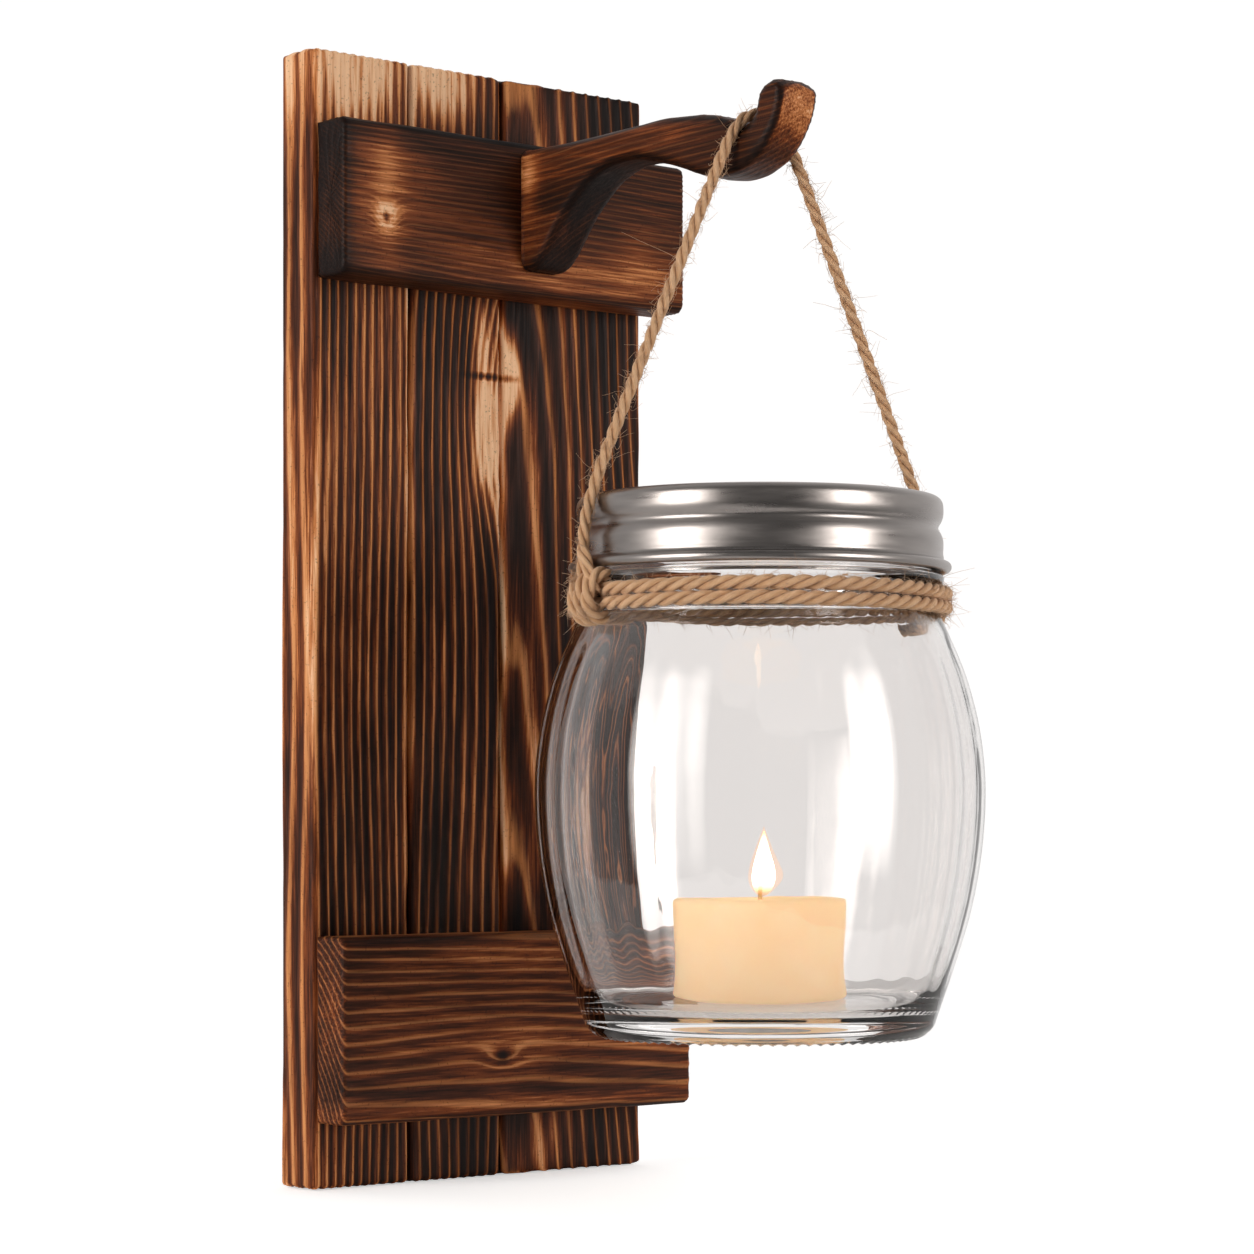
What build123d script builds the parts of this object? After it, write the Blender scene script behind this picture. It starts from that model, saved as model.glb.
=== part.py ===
from build123d import *
import os
from math import asin, atan2, cos, degrees, radians, sin, sqrt, tan

os.makedirs("parts", exist_ok=True)

# A jar lantern for a wall. Three planks are screwed to two battens, a wooden hook stands out
# from the upper batten, and a glass jar with a candle hangs on the hook by a twine handle.
# Millimetres, +Z up, +X to the right across the board, -Y out of the wall into the room.
# The origin is where the wall screw sits in the keyhole hanger, on the board's back face.

# ---- driving dimensions -------------------------------------------------------------------
board_left, board_right = -61.4, 48.6
left_joint, right_joint = -30.1, 0.0          # where the planks meet
board_bottom, board_top = -279.0, 12.0
plank_thick = 14.0
batten_thick = 12.5
upper_batten_x, upper_batten_z = (-60.4, 53.4), (-47.1, -7.0)
lower_batten_x, lower_batten_z = (-60.6, 55.6), (-262.1, -214.2)

hang_x, hang_y = 3.1, -112.0                  # the hook's saddle and the jar's axis
hook_width = 13.5
saddle_z = -14.0                              # top of the wood under the twine

twine_r = 1.8
gap = 0.3                                     # air between pieces that move apart

band_r = 44.8                                 # outside of the screw band's wall
band_sheet = 0.4
band_top, band_bottom = -106.0, -124.6
bead_r = 46.8                                 # outside of the band's rolled lower edge
jar_wall = 2.8
finish_r, thread_r, mouth_r = 42.0, 43.0, 38.5
neck_r, ring_r = 43.6, 45.0
jar_bottom, jar_floor = -237.5, -231.3

candle_r, candle_height = 21.5, 28.0
wick_r = 0.8

# ---- values that follow ---------------------------------------------------------------------
batten_back = -plank_thick
batten_front = -plank_thick - batten_thick
half_hook = hook_width / 2
pivot_z = saddle_z - half_hook                # centre of the twine's bend over the saddle
bend_r = half_hook + twine_r + gap            # radius of that bend, at the middle of the twine
loop_turn = 12.0                              # degrees that the handle stands off the X axis
loop_dir = Vector(cos(radians(loop_turn)), -sin(radians(loop_turn)), 0)
wrap_r = neck_r + twine_r + 0.1
wrap_heights = (-129.6, -133.6)
shoulder = (band_r + twine_r + 0.8, -108.2)   # where the twine bends over the band's shoulder
over_bead = (bead_r + twine_r + gap, -121.5)
riser_end = (wrap_r + 2 * twine_r - 0.4, -131.5)
candle_bottom = jar_floor + gap
candle_top = candle_bottom + candle_height
jar_plane = Plane(origin=(hang_x, hang_y, 0), x_dir=(1, 0, 0), z_dir=(0, -1, 0))
jar_axis = Axis((hang_x, hang_y, 0), (0, 0, 1))


def save(piece, name):
    """Label a finished piece and write it as parts/NAME.step."""
    piece.part.label = name
    export_step(piece.part, f"parts/{name}.step")


def back_planes(spots, y):
    """Planes that face the wall at depth y, one at each (x, z)."""
    return [Plane(origin=(x, y, z), x_dir=(1, 0, 0), z_dir=(0, 1, 0)) for x, z in spots]


def loop_point(side, reach, z):
    """A point in the handle's plane: side is -1 or 1, reach is its distance from the jar's axis."""
    return Vector(hang_x, hang_y, z) + loop_dir * (side * reach)


# ---- screws -----------------------------------------------------------------------------------
screw_sink = 0.2                              # heads sit this far below the face
tip_r = 0.3
batten_screw = {"head": 3.3, "shank": 1.75, "length": 23.0}
hook_screw = {"head": 3.3, "shank": 2.0, "length": 38.0}
hanger_screw = {"head": 2.6, "shank": 1.3, "length": 11.0}
plank_middles = (-46.0, -15.0, 30.0)
upper_spots = [(x, z) for x in plank_middles for z in (-37.0, -17.0)]
lower_spots = [(x, z) for x in plank_middles for z in (-252.0, -224.0)]
hook_spots = [(3.9, -17.0), (3.9, -29.0)]
hanger_spots = [(-16.0, -3.5), (16.0, -3.5)]
hole_fit = 0.05


def make_screw(size):
    """A countersunk wood screw, its head at Z 0 and its point down -Z."""
    head, shank, length = size["head"], size["shank"], size["length"]
    with BuildPart() as screw:
        with BuildSketch(Plane.XZ):
            with BuildLine():
                Polyline((0, 0), (head, 0), (shank, shank - head), (shank, 2 * shank - length),
                         (tip_r, -length), (0, -length), close=True)
            make_face()
        revolve(axis=Axis.Z)
        with BuildSketch(Plane.XY):
            Rectangle(1.1 * head, 0.26 * head)
            Rectangle(0.26 * head, 1.1 * head)
        extrude(amount=-0.45 * head, mode=Mode.SUBTRACT)
    return screw.part


for name, size, spots, y in (
    ("upper_batten_screws", batten_screw, upper_spots, -screw_sink),
    ("lower_batten_screws", batten_screw, lower_spots, -screw_sink),
    ("hook_screws", hook_screw, hook_spots, -screw_sink),
    ("hanger_screws", hanger_screw, hanger_spots, -screw_sink),
):
    one_screw = make_screw(size)
    with BuildPart() as screws:
        with Locations(*back_planes(spots, y)):
            add(one_screw)
    save(screws, name)


def screw_holes(size, spots, y, depth):
    """Close holes for the shanks, drilled from the plane at depth y."""
    for spot in spots:
        with Locations(*back_planes([spot], y)):
            Hole(size["shank"] + hole_fit, depth=depth)


def sunk_holes(size, spots):
    """Holes right through a plank, countersunk for the heads at its back face."""
    for spot in spots:
        with Locations(*back_planes([spot], 0)):
            CounterSinkHole(size["shank"] + hole_fit, size["head"] + screw_sink + hole_fit,
                            depth=plank_thick + 1, counter_sink_angle=90)


# ---- keyhole hanger, let into the back ----------------------------------------------------------
plate_length, plate_height, plate_thick = 44.0, 18.0, 1.4
plate_z = -3.5
plate_y = -0.1                                # the plate's face, a hair below the wood
head_hole_r, slot_r, head_hole_z = 4.2, 2.1, -7.0
pocket_width, pocket_depth = 12.0, 8.4
pocket_z = (-12.0, 4.0)

with BuildPart() as hanger:
    with BuildSketch(*back_planes([(0, plate_z)], plate_y)):
        SlotOverall(plate_length, plate_height)
    extrude(amount=-plate_thick)
    with BuildSketch(*back_planes([(0, 0)], plate_y)):
        Circle(slot_r)
        with Locations((0, -head_hole_z)):
            Circle(head_hole_r)
        with Locations((0, -head_hole_z / 2)):
            Rectangle(2 * slot_r, -head_hole_z)
    extrude(amount=-plate_thick, mode=Mode.SUBTRACT)
    with Locations(*back_planes(hanger_spots, plate_y)):
        CounterSinkHole(hanger_screw["shank"] + hole_fit, hanger_screw["head"] + 0.15,
                        depth=plate_thick + 1, counter_sink_angle=90)
save(hanger, "keyhole_hanger")

# ---- planks -----------------------------------------------------------------------------------
plank_ease, plank_edge = 1.7, 0.6             # worn front edges, lightly sanded back edges

for name, left, right in (
    ("plank_left", board_left, left_joint),
    ("plank_middle", left_joint, right_joint),
    ("plank_right", right_joint, board_right),
):
    with BuildPart() as plank:
        with BuildSketch(Plane.XY.offset(board_bottom)):
            with Locations(((left + right) / 2, -plank_thick / 2)):
                Rectangle(right - left, plank_thick)
        extrude(amount=board_top - board_bottom)
        front = plank.faces().sort_by(Axis.Y)[0]
        back = plank.faces().sort_by(Axis.Y)[-1]
        fillet(front.edges(), plank_ease)
        chamfer(back.edges(), plank_edge)
        sunk_holes(batten_screw, [spot for spot in upper_spots + lower_spots if left < spot[0] < right])
        sunk_holes(hook_screw, [spot for spot in hook_spots if left < spot[0] < right])
        if name != "plank_left":
            with BuildSketch(*back_planes([(0, plate_z)], 0)):
                SlotOverall(plate_length + 0.2, plate_height + 0.2)
            extrude(amount=plate_y - plate_thick, mode=Mode.SUBTRACT)
            with BuildSketch(*back_planes([(0, sum(pocket_z) / 2)], 0)):
                Rectangle(pocket_width, pocket_z[1] - pocket_z[0])
            extrude(amount=-pocket_depth, mode=Mode.SUBTRACT)
            screw_holes(hanger_screw, [spot for spot in hanger_spots if left < spot[0] < right],
                        0, hanger_screw["length"] + 1)
    save(plank, name)

# ---- battens ----------------------------------------------------------------------------------
batten_ease = 2.2

for name, (left, right), (low, high), spots in (
    ("upper_batten", upper_batten_x, upper_batten_z, upper_spots),
    ("lower_batten", lower_batten_x, lower_batten_z, lower_spots),
):
    with BuildPart() as batten:
        with BuildSketch(Plane.YZ.offset(left)):
            with Locations((batten_back - batten_thick / 2, (low + high) / 2)):
                Rectangle(batten_thick, high - low)
        extrude(amount=right - left)
        front = batten.faces().sort_by(Axis.Y)[0]
        fillet(front.edges(), batten_ease)
        screw_holes(batten_screw, spots, batten_back, batten_screw["length"] - plank_thick + 1)
        if name == "upper_batten":
            screw_holes(hook_screw, hook_spots, batten_back, batten_thick + 1)
    save(batten, name)

# ---- hook -------------------------------------------------------------------------------------
# Its side outline in (Y, Z): a thin arm over an arch, a deep belly under the saddle, and a knob.
root_top, root_bottom = -9.1, -41.0
arm_top = [(-58.0, -9.4), (-86.0, -9.2), (-99.0, -10.7), (-106.5, -12.9), (hang_y, saddle_z)]
knob = [(-115.2, -11.6), (-117.6, -7.6), (-122.0, -5.9), (-126.4, -8.0)]
belly = [(-126.2, -13.2), (-123.0, -19.2), (-117.5, -23.9), (-108.0, -27.0), (-98.0, -26.3),
         (-84.0, -21.4), (-68.0, -17.8), (-55.0, -20.2), (-43.5, -28.2), (-32.0, -40.4)]
hook_ease = 2.5
groove_r = twine_r + 0.35                     # shallow groove that the twine lies in

with BuildPart() as hook:
    with BuildSketch(Plane.YZ.offset(hang_x - half_hook)):
        with BuildLine():
            Line((batten_front, root_bottom), (batten_front, root_top))
            Spline((batten_front, root_top), *arm_top, *knob, *belly,
                   tangents=[(-1, 0), (0.5, -0.5)])
            Line(belly[-1], (batten_front, root_bottom))
        make_face()
    extrude(amount=hook_width)
    sides = hook.faces().filter_by(Axis.X)
    outline = sides.edges().filter_by(lambda edge: edge.length > 40)
    fillet(outline, hook_ease)
    with BuildSketch(Plane(origin=(hang_x, hang_y, pivot_z), x_dir=loop_dir, z_dir=(0, 0, 1))):
        with Locations((bend_r, 0)):
            Circle(groove_r)
    revolve(axis=Axis((hang_x, hang_y, pivot_z), Vector(0, 0, 1).cross(loop_dir)),
            revolution_arc=-180, mode=Mode.SUBTRACT)
    screw_holes(hook_screw, hook_spots, batten_front, hook_screw["length"] + batten_front + 1)
save(hook, "hook")

# ---- glass jar ----------------------------------------------------------------------------------
# The body's wall is two arcs outside and two inside: (radius, Z) at the shoulder, halfway, the widest
# place, halfway again and the heel.
shoulder_r, shoulder_z = 44.7, -136.3
upper_mid, widest, lower_mid = (51.3, -153.2), (55.0, -177.5), (51.6, -206.6)
heel_top, heel = (43.9, -231.0), (42.3, -235.3)
stand_r = 38.6
ring_z = (-127.5, -124.9)
neck_low = -135.2                             # where the neck runs out into the shoulder
neck_inside_z = (-131.0, -125.0)              # the mouth's wall slopes between these
stand_recess = 1.5
lip_z = band_top - band_sheet - gap
thread_heights = (-110.6, -117.2)


def inner(point):
    """The point of the inner wall that faces an outer one."""
    return (point[0] - jar_wall, point[1])


with BuildPart() as jar:
    with BuildSketch(jar_plane):
        with BuildLine():
            ThreePointArc((shoulder_r, shoulder_z), upper_mid, widest)
            ThreePointArc(widest, lower_mid, heel_top)
            ThreePointArc(heel_top, heel, (stand_r, jar_bottom))
            Polyline((stand_r, jar_bottom), (stand_r - 4, jar_bottom), (stand_r - 8, jar_bottom + stand_recess),
                     (0, jar_bottom + stand_recess), (0, jar_floor), (stand_r - 4, jar_floor))
            ThreePointArc((stand_r - 4, jar_floor), (stand_r + 1.0, jar_floor + 2.2),
                          (stand_r + 3.6, jar_floor + 7.6))
            ThreePointArc((stand_r + 3.6, jar_floor + 7.6), inner(lower_mid), inner(widest))
            ThreePointArc(inner(widest), inner(upper_mid), (shoulder_r - jar_wall, shoulder_z))
            Polyline((shoulder_r - jar_wall, shoulder_z), (mouth_r + 1.4, neck_inside_z[0]), (mouth_r, neck_inside_z[1]),
                     (mouth_r, lip_z - 1), (mouth_r + 1, lip_z), (finish_r - 1, lip_z),
                     (finish_r, lip_z - 1), (finish_r, ring_z[1]), (ring_r - 0.6, ring_z[1]),
                     (ring_r, ring_z[1] - 0.6), (ring_r, ring_z[0] + 0.6), (ring_r - 0.6, ring_z[0]),
                     (neck_r, ring_z[0]), (neck_r, neck_low), (shoulder_r, shoulder_z))
        make_face()
        with Locations(*[(finish_r, z) for z in thread_heights]):
            Circle(thread_r - finish_r)
    revolve(axis=jar_axis)
save(jar, "glass_jar")

# ---- screw band: a spun steel ring, open in the middle --------------------------------------------
groove_z, skirt_z = -113.8, -120.4
groove_in = thread_r + gap + band_sheet
bead_tube = 1.3

with BuildPart() as band:
    with BuildSketch(jar_plane):
        with BuildLine():
            Polyline((mouth_r, band_top), (band_r - 2.6, band_top), (band_r - 0.7, band_top - 0.7),
                     (band_r, band_top - 2.6), (band_r, groove_z + 2.2), (groove_in, groove_z),
                     (band_r, groove_z - 2.2), (band_r, skirt_z), (band_r + 0.4, skirt_z - 2.2),
                     (band_r + 0.4 - band_sheet, skirt_z - 2.2), (band_r - band_sheet, skirt_z),
                     (band_r - band_sheet, groove_z - 2.2), (groove_in - band_sheet, groove_z),
                     (band_r - band_sheet, groove_z + 2.2), (band_r - band_sheet, band_top - 2.6),
                     (band_r - 1.0, band_top - 1.0), (band_r - 2.6, band_top - band_sheet),
                     (mouth_r, band_top - band_sheet), close=True)
        make_face()
        with Locations((bead_r - bead_tube, band_bottom + bead_tube)):
            Circle(bead_tube)
            Circle(bead_tube - band_sheet, mode=Mode.SUBTRACT)
    revolve(axis=jar_axis)
save(band, "screw_band")

# ---- candle, wick and wick holder ---------------------------------------------------------------
pool_r, pool_depth = 17.0, 1.6
holder_r, holder_thick, holder_neck_r, holder_neck = 9.0, 0.4, 2.0, 4.0
wick_top = candle_top + 4.5

with BuildPart() as holder:
    with BuildSketch(Plane.XY.offset(candle_bottom)):
        with Locations((hang_x, hang_y)):
            Circle(holder_r)
    extrude(amount=holder_thick)
    with BuildSketch(Plane.XY.offset(candle_bottom + holder_thick)):
        with Locations((hang_x, hang_y)):
            Circle(holder_neck_r)
    extrude(amount=holder_neck)
    with Locations((hang_x, hang_y, candle_bottom + holder_thick)):
        Cylinder(wick_r, holder_neck, align=(Align.CENTER, Align.CENTER, Align.MIN), mode=Mode.SUBTRACT)
save(holder, "wick_holder")

with BuildPart() as wick:
    with BuildLine():
        wick_path = FilletPolyline((hang_x, hang_y, candle_bottom + holder_thick),
                                   (hang_x, hang_y, candle_top + 2.0),
                                   (hang_x + 1.2, hang_y - 0.5, wick_top), radius=2.5)
    with BuildSketch(Plane.XY.offset(candle_bottom + holder_thick)):
        with Locations((hang_x, hang_y)):
            Circle(wick_r)
    sweep()
save(wick, "wick")

with BuildPart() as candle:
    with BuildSketch(jar_plane):
        with BuildLine():
            Polyline((0, candle_bottom), (candle_r - 0.8, candle_bottom), (candle_r, candle_bottom + 0.8),
                     (candle_r, candle_top - 1.2), (candle_r - 1.2, candle_top),
                     (candle_r - 2.6, candle_top - 0.3), (pool_r, candle_top - pool_depth),
                     (0, candle_top - pool_depth), close=True)
        make_face()
    revolve(axis=jar_axis)
    with Locations((hang_x, hang_y, candle_bottom)):
        Cylinder(holder_r, holder_thick, align=(Align.CENTER, Align.CENTER, Align.MIN), mode=Mode.SUBTRACT)
        Cylinder(holder_neck_r, holder_thick + holder_neck,
                 align=(Align.CENTER, Align.CENTER, Align.MIN), mode=Mode.SUBTRACT)
        Cylinder(wick_r, candle_height, align=(Align.CENTER, Align.CENTER, Align.MIN), mode=Mode.SUBTRACT)
save(candle, "candle")

# ---- twine --------------------------------------------------------------------------------------
# The handle leaves the saddle's bend on a tangent, runs straight to the band's shoulder, and goes
# on down over the band to the two turns round the neck. It is cut where it can bend in use.
drop = pivot_z - shoulder[1]
lean = atan2(shoulder[0], drop) - asin(bend_r / sqrt(shoulder[0] ** 2 + drop ** 2))
leave = (bend_r * cos(lean), pivot_z + bend_r * sin(lean))
split = 0.55                                  # each piece stops this far short of a bending place
bend_turn = 180 - 2 * degrees(lean + split / bend_r)
bend_start = lean + split / bend_r
with BuildPart() as bight:
    with BuildSketch(Plane(origin=(hang_x, hang_y, pivot_z),
                           x_dir=loop_dir * cos(bend_start) + Vector(0, 0, sin(bend_start)),
                           z_dir=loop_dir * -sin(bend_start) + Vector(0, 0, cos(bend_start)))):
        with Locations((bend_r, 0)):
            Circle(twine_r)
    revolve(axis=Axis((hang_x, hang_y, pivot_z), Vector(0, 0, 1).cross(loop_dir)),
            revolution_arc=-bend_turn)
save(bight, "twine_bight")
print("twine over the hook: radius", round(bend_r, 2), "turn", round(bend_turn, 1))

knot_r, knot_height, knot_round = 3.4, 10.5, 2.4
knot_out = 2.4                                # its middle stands this far outside the turns'

for side, name in ((-1, "left"), (1, "right")):
    top, bottom = loop_point(side, *leave), loop_point(side, *shoulder)
    down = (bottom - top).normalized()
    with BuildPart() as strand:
        with BuildSketch(Plane(origin=top + down * split, z_dir=down)):
            Circle(twine_r)
        extrude(amount=(bottom - top).length - 2 * split)
    save(strand, f"twine_strand_{name}")
    print("strand", name, "length", round((bottom - top).length, 2))

    corner, end = loop_point(side, *over_bead), loop_point(side, *riser_end)
    bottom += (corner - bottom).normalized() * split
    first, second = corner - bottom, end - corner
    half_turn = radians(first.get_angle(second) / 2)
    riser_bend = 0.45 * min(first.length, second.length) / tan(half_turn)
    with BuildPart() as riser:
        with BuildLine():
            FilletPolyline(bottom, corner, end, radius=riser_bend)
        with BuildSketch(Plane(origin=bottom, z_dir=first)):
            Circle(twine_r)
        sweep()
    save(riser, f"twine_riser_{name}")
    print("riser", name, "bend radius", round(riser_bend, 2))

    knot_centre = loop_point(side, wrap_r + knot_out, sum(wrap_heights) / 2 - knot_height / 2)
    with BuildPart() as knot:
        with BuildSketch(Plane(origin=knot_centre, z_dir=(0, 0, 1))):
            Circle(knot_r)
        extrude(amount=knot_height)
        fillet(knot.edges().filter_by(GeomType.CIRCLE), knot_round)
    save(knot, f"twine_knot_{name}")

with BuildPart() as wraps:
    with BuildSketch(jar_plane):
        with Locations(*[(wrap_r, z) for z in wrap_heights]):
            Circle(twine_r)
    revolve(axis=jar_axis)
save(wraps, "twine_neck_wraps")
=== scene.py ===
import math

import bpy
import numpy as np
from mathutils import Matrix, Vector


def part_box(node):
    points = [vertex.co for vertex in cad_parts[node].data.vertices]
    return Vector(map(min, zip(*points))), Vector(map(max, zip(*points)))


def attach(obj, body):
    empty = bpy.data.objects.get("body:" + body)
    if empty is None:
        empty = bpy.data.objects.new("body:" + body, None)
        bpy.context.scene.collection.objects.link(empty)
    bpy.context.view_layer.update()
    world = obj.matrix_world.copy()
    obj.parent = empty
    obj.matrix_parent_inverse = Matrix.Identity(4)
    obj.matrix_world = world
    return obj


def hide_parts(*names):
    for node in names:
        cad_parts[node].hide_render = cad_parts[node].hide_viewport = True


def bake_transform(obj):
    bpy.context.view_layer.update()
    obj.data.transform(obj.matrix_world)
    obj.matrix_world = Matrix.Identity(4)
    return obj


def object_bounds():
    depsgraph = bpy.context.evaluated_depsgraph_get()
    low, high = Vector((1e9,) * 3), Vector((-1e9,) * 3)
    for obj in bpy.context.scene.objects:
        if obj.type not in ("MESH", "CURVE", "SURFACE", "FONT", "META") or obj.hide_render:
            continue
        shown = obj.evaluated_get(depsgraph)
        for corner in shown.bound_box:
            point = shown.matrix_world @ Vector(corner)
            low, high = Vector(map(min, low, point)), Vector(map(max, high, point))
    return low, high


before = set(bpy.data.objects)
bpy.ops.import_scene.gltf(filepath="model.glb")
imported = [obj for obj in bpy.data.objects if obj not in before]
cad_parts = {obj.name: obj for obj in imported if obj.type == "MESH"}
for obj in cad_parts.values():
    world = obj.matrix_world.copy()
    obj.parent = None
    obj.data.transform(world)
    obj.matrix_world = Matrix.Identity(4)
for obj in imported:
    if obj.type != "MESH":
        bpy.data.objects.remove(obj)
cad_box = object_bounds()

# ---- Studio ---------------------------------------------------------------------------------------
# The lantern stands on white paper in front of a white wall of light, with the room dark behind the
# camera. Two tall softboxes stand left and right of a level camera with a portrait lens.

mm = 0.001
axis_x, axis_y = 3.1, -112.0                    # the jar's axis in mm, under the hook's saddle
hang_x, hang_y = axis_x * mm, axis_y * mm
view_turn = math.radians(40)
camera_spot = (-0.578, -0.7541, -0.1848)
forward = (math.sin(view_turn), math.cos(view_turn), 0.0)
scene = bpy.context.scene
scene.view_settings.view_transform = "Standard"


def linear(colour):
    """An sRGB hex colour as linear red, green, blue and alpha: the standard's straight foot, then its 2.4 power."""
    srgb = np.array([int(colour[i:i + 2], 16) for i in (1, 3, 5)]) / 255
    light = np.where(srgb <= 0.04045, srgb / 12.92, ((srgb + 0.055) / 1.055) ** 2.4)
    return (*map(float, light), 1.0)


def add(tree, kind, links=None, stops=(), **settings):
    """Adds a shader node with its settings. links gives inputs by name or number: a value, a socket or a node's
    first output. stops gives a colour ramp's positions and sRGB colours, in order."""
    new = tree.nodes.new("ShaderNode" + kind)
    for name, value in settings.items():
        setattr(new, name, value)
    for place, value in (links or {}).items():
        if isinstance(value, bpy.types.Node):
            value = value.outputs[0]
        if isinstance(value, bpy.types.NodeSocket):
            tree.links.new(value, new.inputs[place])
        else:
            new.inputs[place].default_value = value
    if stops:
        ramp = new.color_ramp.elements
        while len(ramp) < len(stops):
            ramp.new(0.5)
        for element, (position, colour) in zip(ramp, stops):
            element.position, element.color = position, linear(colour)
    return new


def start_material(name):
    """An empty material and its node tree."""
    material = bpy.data.materials.new(name)
    material.use_nodes = True
    material.node_tree.nodes.clear()
    return material, material.node_tree


def softbox(name, turn, height, distance, width, tall, power):
    """A rectangular light that stands round the jar at that turn in degrees, 0 being square on, and faces it.
    It fades to its edges as 36u(1 - u)v(1 - v) does, so that what shines shows it with soft sides."""
    lamp = bpy.data.lights.new(name, "AREA")
    lamp.shape = "RECTANGLE"
    lamp.size, lamp.size_y = width, tall
    lamp.energy = power
    lamp.use_nodes = True
    cloth = lamp.node_tree
    spot = add(cloth, "SeparateXYZ", {0: add(cloth, "NewGeometry").outputs["Parametric"]})
    fade = 36.0
    for across in (spot.outputs["X"], spot.outputs["Y"]):
        rest = add(cloth, "Math", {0: 1.0, 1: across}, operation="SUBTRACT")
        fade = add(cloth, "Math", {0: fade, 1: across}, operation="MULTIPLY")
        fade = add(cloth, "Math", {0: fade, 1: rest}, operation="MULTIPLY")
    tree_end = cloth.nodes["Light Output"]
    glowing = add(cloth, "Emission", {"Color": linear("#fffaf5"), "Strength": fade})
    cloth.links.new(glowing.outputs[0], tree_end.inputs[0])
    stand = bpy.data.objects.new(name, lamp)
    scene.collection.objects.link(stand)
    turn = math.radians(turn)
    stand.location = (hang_x + distance * math.sin(turn), hang_y - distance * math.cos(turn), height)
    aim = Vector((hang_x, hang_y, -0.15)) - stand.location
    stand.rotation_euler = aim.to_track_quat("-Z", "Y").to_euler()


softbox("softbox_left", -92, 0.02, 1.15, 0.70, 1.20, 11.2)
softbox("softbox_right", 16, 0.02, 1.15, 0.60, 1.20, 9.2)

world = bpy.data.worlds.new("studio")
world.use_nodes = True
world.node_tree.nodes.clear()
scene.world = world
sky = world.node_tree
direction = add(sky, "TexCoord").outputs["Generated"]
facing = add(sky, "VectorMath", {0: direction, 1: forward}, operation="DOT_PRODUCT").outputs["Value"]
room = add(sky, "MapRange", {0: facing, 1: -0.4, 2: 0.9, 3: 0.11, 4: 0.90})
height = add(sky, "SeparateXYZ", {0: direction}).outputs["Z"]
lower = add(sky, "MapRange", {0: height, 1: -0.8, 2: -0.12, 3: 0.45, 4: 1.0})
room = add(sky, "Math", {0: room, 1: lower}, operation="MULTIPLY")
is_camera = add(sky, "LightPath").outputs["Is Camera Ray"]
strength = add(sky, "Mix", {0: is_camera, 2: room, 3: 1.03}, data_type="FLOAT")
wall = add(sky, "Background", {"Color": (1.0, 0.985, 0.975, 1), "Strength": strength})
add(sky, "OutputWorld", {"Surface": wall})

# The paper's glow fades to its edges, so that the glass shows no hard line.
paper_half = 0.28
paper_glow, paper_seen = 0.90, 0.53             # towards the lantern, and towards the camera
paper_z = cad_box[0].z - 0.2 * mm
paper_mesh = bpy.data.meshes.new("paper")
paper_mesh.from_pydata([(x, y, paper_z) for x, y in ((-paper_half, -paper_half), (paper_half, -paper_half),
                                                     (paper_half, paper_half), (-paper_half, paper_half))],
                       [], [(0, 1, 2, 3)])
paper = bpy.data.objects.new("paper", paper_mesh)
scene.collection.objects.link(paper)
paper_white, tree = start_material("paper_white")
place = add(tree, "TexCoord").outputs["Object"]
far_off = add(tree, "VectorMath", {0: place, 1: (hang_x, hang_y, 0)}, operation="DISTANCE").outputs["Value"]
fading = add(tree, "MapRange", {0: far_off, 1: paper_half / 2, 2: paper_half, 3: paper_glow, 4: 0.0},
             interpolation_type="SMOOTHSTEP")
seen = add(tree, "LightPath").outputs["Is Camera Ray"]
lit = add(tree, "Mix", {0: seen, 2: fading, 3: paper_seen}, data_type="FLOAT")
sheet = add(tree, "BsdfPrincipled", {"Base Color": linear("#f6f6f6"), "Roughness": 0.9,
                                     "Emission Color": (1, 1, 1, 1), "Emission Strength": lit})
add(tree, "OutputMaterial", {"Surface": sheet})
paper_mesh.materials.append(paper_white)

camera_data = bpy.data.cameras.new("camera")
camera_data.lens = 101.6
camera_data.shift_y = 0.154
camera = bpy.data.objects.new("camera", camera_data)
camera.location = camera_spot
camera.rotation_euler = (math.radians(90), 0, -view_turn)
scene.collection.objects.link(camera)
scene.camera = camera

# ---- Planks ---------------------------------------------------------------------------------------
# Three pine boards stand side by side: planed, torched, brushed and oiled. The soft early wood is
# burnt dark and brushed low, and the hard late wood stands up as thin orange lines.

screw_spots = [(x, z) for x in (-46.0, -15.0, 30.0) for z in (-37.0, -17.0, -252.0, -224.0)]
hook_screw_spots = [(3.9, -17.0), (3.9, -29.0)]


def soft_noise(x, y, z, seed):
    """A smooth random field from 0 to 1: hashed values at whole-number places, blended by 3t^2 - 2t^3."""
    place = np.stack(np.broadcast_arrays(x, y, z)).astype(float)
    low = np.floor(place)
    t = place - low
    t = t * t * (3 - 2 * t)
    low = low.astype(np.int64)
    total = np.zeros(place.shape[1:])
    for corner in np.ndindex(2, 2, 2):
        i, j, k = (low[n] + corner[n] for n in range(3))
        hashed = (i * 73856093) ^ (j * 19349663) ^ (k * 83492791) ^ (seed * 40503 + 977)
        hashed = (hashed ^ (hashed >> 13)) * 1274126177
        value = ((hashed ^ (hashed >> 16)) & 0xFFFF) / 65535
        total += value * np.prod([t[n] if corner[n] else 1 - t[n] for n in range(3)], axis=0)
    return total


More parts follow.
